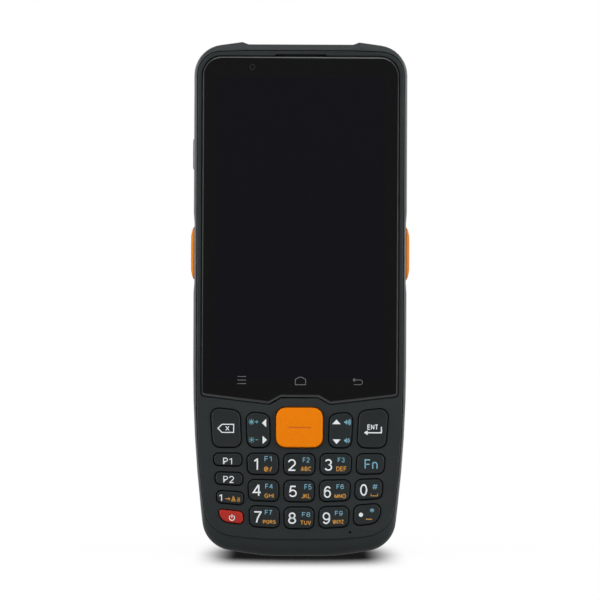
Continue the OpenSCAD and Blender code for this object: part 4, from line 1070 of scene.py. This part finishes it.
def white_table():
    material, tree, shader = new_material("white_table")
    where = place(tree, "TexCoord").outputs["Object"]
    axes = place(tree, "SeparateXYZ", {0: where}).outputs
    away = place(tree, "VectorMath", {0: where}, operation="LENGTH").outputs["Value"]
    ray = place(tree, "LightPath").outputs
    shadow = calculate(tree, "MULTIPLY", foot_shadow(tree, axes["X"]), ray["Is Camera Ray"])
    contact = calculate(tree, "SUBTRACT", 1.0, shadow)

    fleck = place(tree, "TexNoise", {"Vector": where, "Scale": 900.0, "Detail": 2.0}).outputs["Fac"]
    tone = mapped(tree, fleck, (0.0, 1.0), TABLE_TONES)
    lit = mapped(tree, ray["Is Camera Ray"], (0.0, 1.0), (BOUNCED, SEEN))
    shown = calculate(tree, "MULTIPLY", calculate(tree, "MULTIPLY", tone, lit), contact)
    tree.links.new(shown, shader.inputs["Base Color"])
    shader.inputs["Roughness"].default_value = 0.9
    shader.inputs["Specular IOR Level"].default_value = 0.1

    under_object = mapped(tree, away, (0.04, 0.14), (0.45, 1.0))
    dark_front = mapped(tree, axes["Y"], (-0.55, -0.12), (0.07, 1.0))
    mirrored = calculate(tree, "MULTIPLY", under_object, dark_front)
    level = mapped(tree, ray["Is Camera Ray"], (0.0, 1.0), (mirrored, contact))
    white = place(tree, "Emission", {"Color": (1, 1, 1, 1), "Strength": level}).outputs[0]

    fade = mapped(tree, away, (0.1, 0.3), (0.92, 1.0), interpolation_type="SMOOTHSTEP")
    direct = calculate(tree, "MAXIMUM", ray["Is Camera Ray"], ray["Is Glossy Ray"])
    direct = calculate(tree, "MAXIMUM", direct, ray["Is Transmission Ray"])
    share = calculate(tree, "MULTIPLY", direct, fade)
    both = place(tree, "MixShader", {0: share, 1: shader.outputs[0], 2: white}).outputs[0]
    tree.links.new(both, tree.nodes["Material Output"].inputs["Surface"])
    return material


def build_floor():
    built = bmesh.new()
    bmesh.ops.create_circle(built, cap_ends=True, segments=96, radius=FLOOR_RADIUS)
    mesh = bpy.data.meshes.new("floor")
    built.to_mesh(mesh)
    built.free()
    floor = bpy.data.objects.new("floor", mesh)
    bpy.context.scene.collection.objects.link(floor)
    return floor


floor = build_floor()
floor.data.materials.append(white_table())
print("floor of", len(floor.data.vertices), "corners")

# %% [markdown]
# ## World
#
# The world lights the object with an even, low grey. For the camera it is plain white, and it is
# white too for what glass and metal mirror, except toward the front, where the dark room behind the
# camera is.

# %% World
EVEN_LIGHT = (0.29, 0.295, 0.3, 1)
FRONT = (0, -1, 0)
ROOM_EDGE, ROOM_LEVEL = (0.45, 0.9), 0.07


def studio_world():
    world = bpy.data.worlds.new("studio")
    world.use_nodes = True
    tree = world.node_tree
    even = tree.nodes["Background"]
    even.inputs["Color"].default_value = EVEN_LIGHT
    direction = place(tree, "TexCoord").outputs["Generated"]
    frontal = place(tree, "VectorMath", {0: direction, 1: FRONT}, operation="DOT_PRODUCT").outputs["Value"]
    room = mapped(tree, frontal, ROOM_EDGE, (1.0, ROOM_LEVEL), interpolation_type="SMOOTHSTEP")
    ray = place(tree, "LightPath").outputs
    mirrored = calculate(tree, "MAXIMUM", ray["Is Glossy Ray"], ray["Is Transmission Ray"])
    mirror_level = calculate(tree, "MULTIPLY", mirrored, room)
    level = calculate(tree, "MAXIMUM", ray["Is Camera Ray"], mirror_level)
    white = place(tree, "Background", {"Color": (1, 1, 1, 1), "Strength": level}).outputs[0]
    direct = calculate(tree, "MAXIMUM", ray["Is Camera Ray"], mirrored)
    both = place(tree, "MixShader", {0: direct, 1: even.outputs[0], 2: white}).outputs[0]
    tree.links.new(both, tree.nodes["World Output"].inputs["Surface"])
    return world


bpy.context.scene.world = studio_world()
print("a white world with a dark front")

# %% [markdown]
# ## Lamps
#
# Soft boxes stand at the four corners, and one hangs above. The two at the front light the face at
# an angle, so their mirror image in the flat glass misses the camera, and they draw the bright line
# along the rounded sides. The two behind are larger and weaker, and do the same for the back. They
# are area lamps, because a large source gives a soft edge to every shadow.

# %% Lamps
OBJECT_MIDDLE = Vector((0, 0, 0.09))


def lamp(name, spot, size, power):
    data = bpy.data.lights.new(name, "AREA")
    data.shape = "RECTANGLE"
    data.size, data.size_y = size
    data.energy = power
    holder = bpy.data.objects.new(name, data)
    holder.location = spot
    holder.rotation_mode = "QUATERNION"
    holder.rotation_quaternion = (OBJECT_MIDDLE - Vector(spot)).to_track_quat("-Z", "Y")
    holder.visible_camera = False
    bpy.context.scene.collection.objects.link(holder)


PAIRS = (
    ("front", (1.03, -0.37, 0.2), (0.5, 0.66), 11.9),
    ("back", (0.85, 0.6, 0.34), (0.9, 0.9), 6.0),
)
for end, (across, back, up), size, power in PAIRS:
    for side, sign in (("left", -1), ("right", 1)):
        lamp(f"soft box {end} {side}", (sign * across, back, up), size, power)
lamp("soft box above", (0, -0.55, 0.95), (0.9, 0.5), 3.35)
print("five soft boxes")

# %% [markdown]
# ## Camera
#
# A long lens a metre away, level with the middle of the object, shows the front almost without
# perspective. SPAN is the width of the view at the face of the object.

# %% Camera
DISTANCE, SPAN = 1.0, 204 * MM
SENSOR = 36.0
FACE_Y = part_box("front_housing")[0][1]
EYE_X, EYE_HEIGHT = 0.015 * MM, 87.4 * MM
UPRIGHT, ROLL = math.radians(90), math.radians(-0.24)

camera_data = bpy.data.cameras.new("camera")
camera_data.sensor_width = SENSOR
camera_data.lens = SENSOR * DISTANCE / SPAN
camera_data.clip_start, camera_data.clip_end = 0.01, 50
camera = bpy.data.objects.new("camera", camera_data)
camera.location = (EYE_X, FACE_Y - DISTANCE, EYE_HEIGHT)
camera.rotation_euler = (UPRIGHT, ROLL, 0)
bpy.context.scene.collection.objects.link(camera)
bpy.context.scene.camera = camera
print("lens", round(camera_data.lens, 1), "mm")
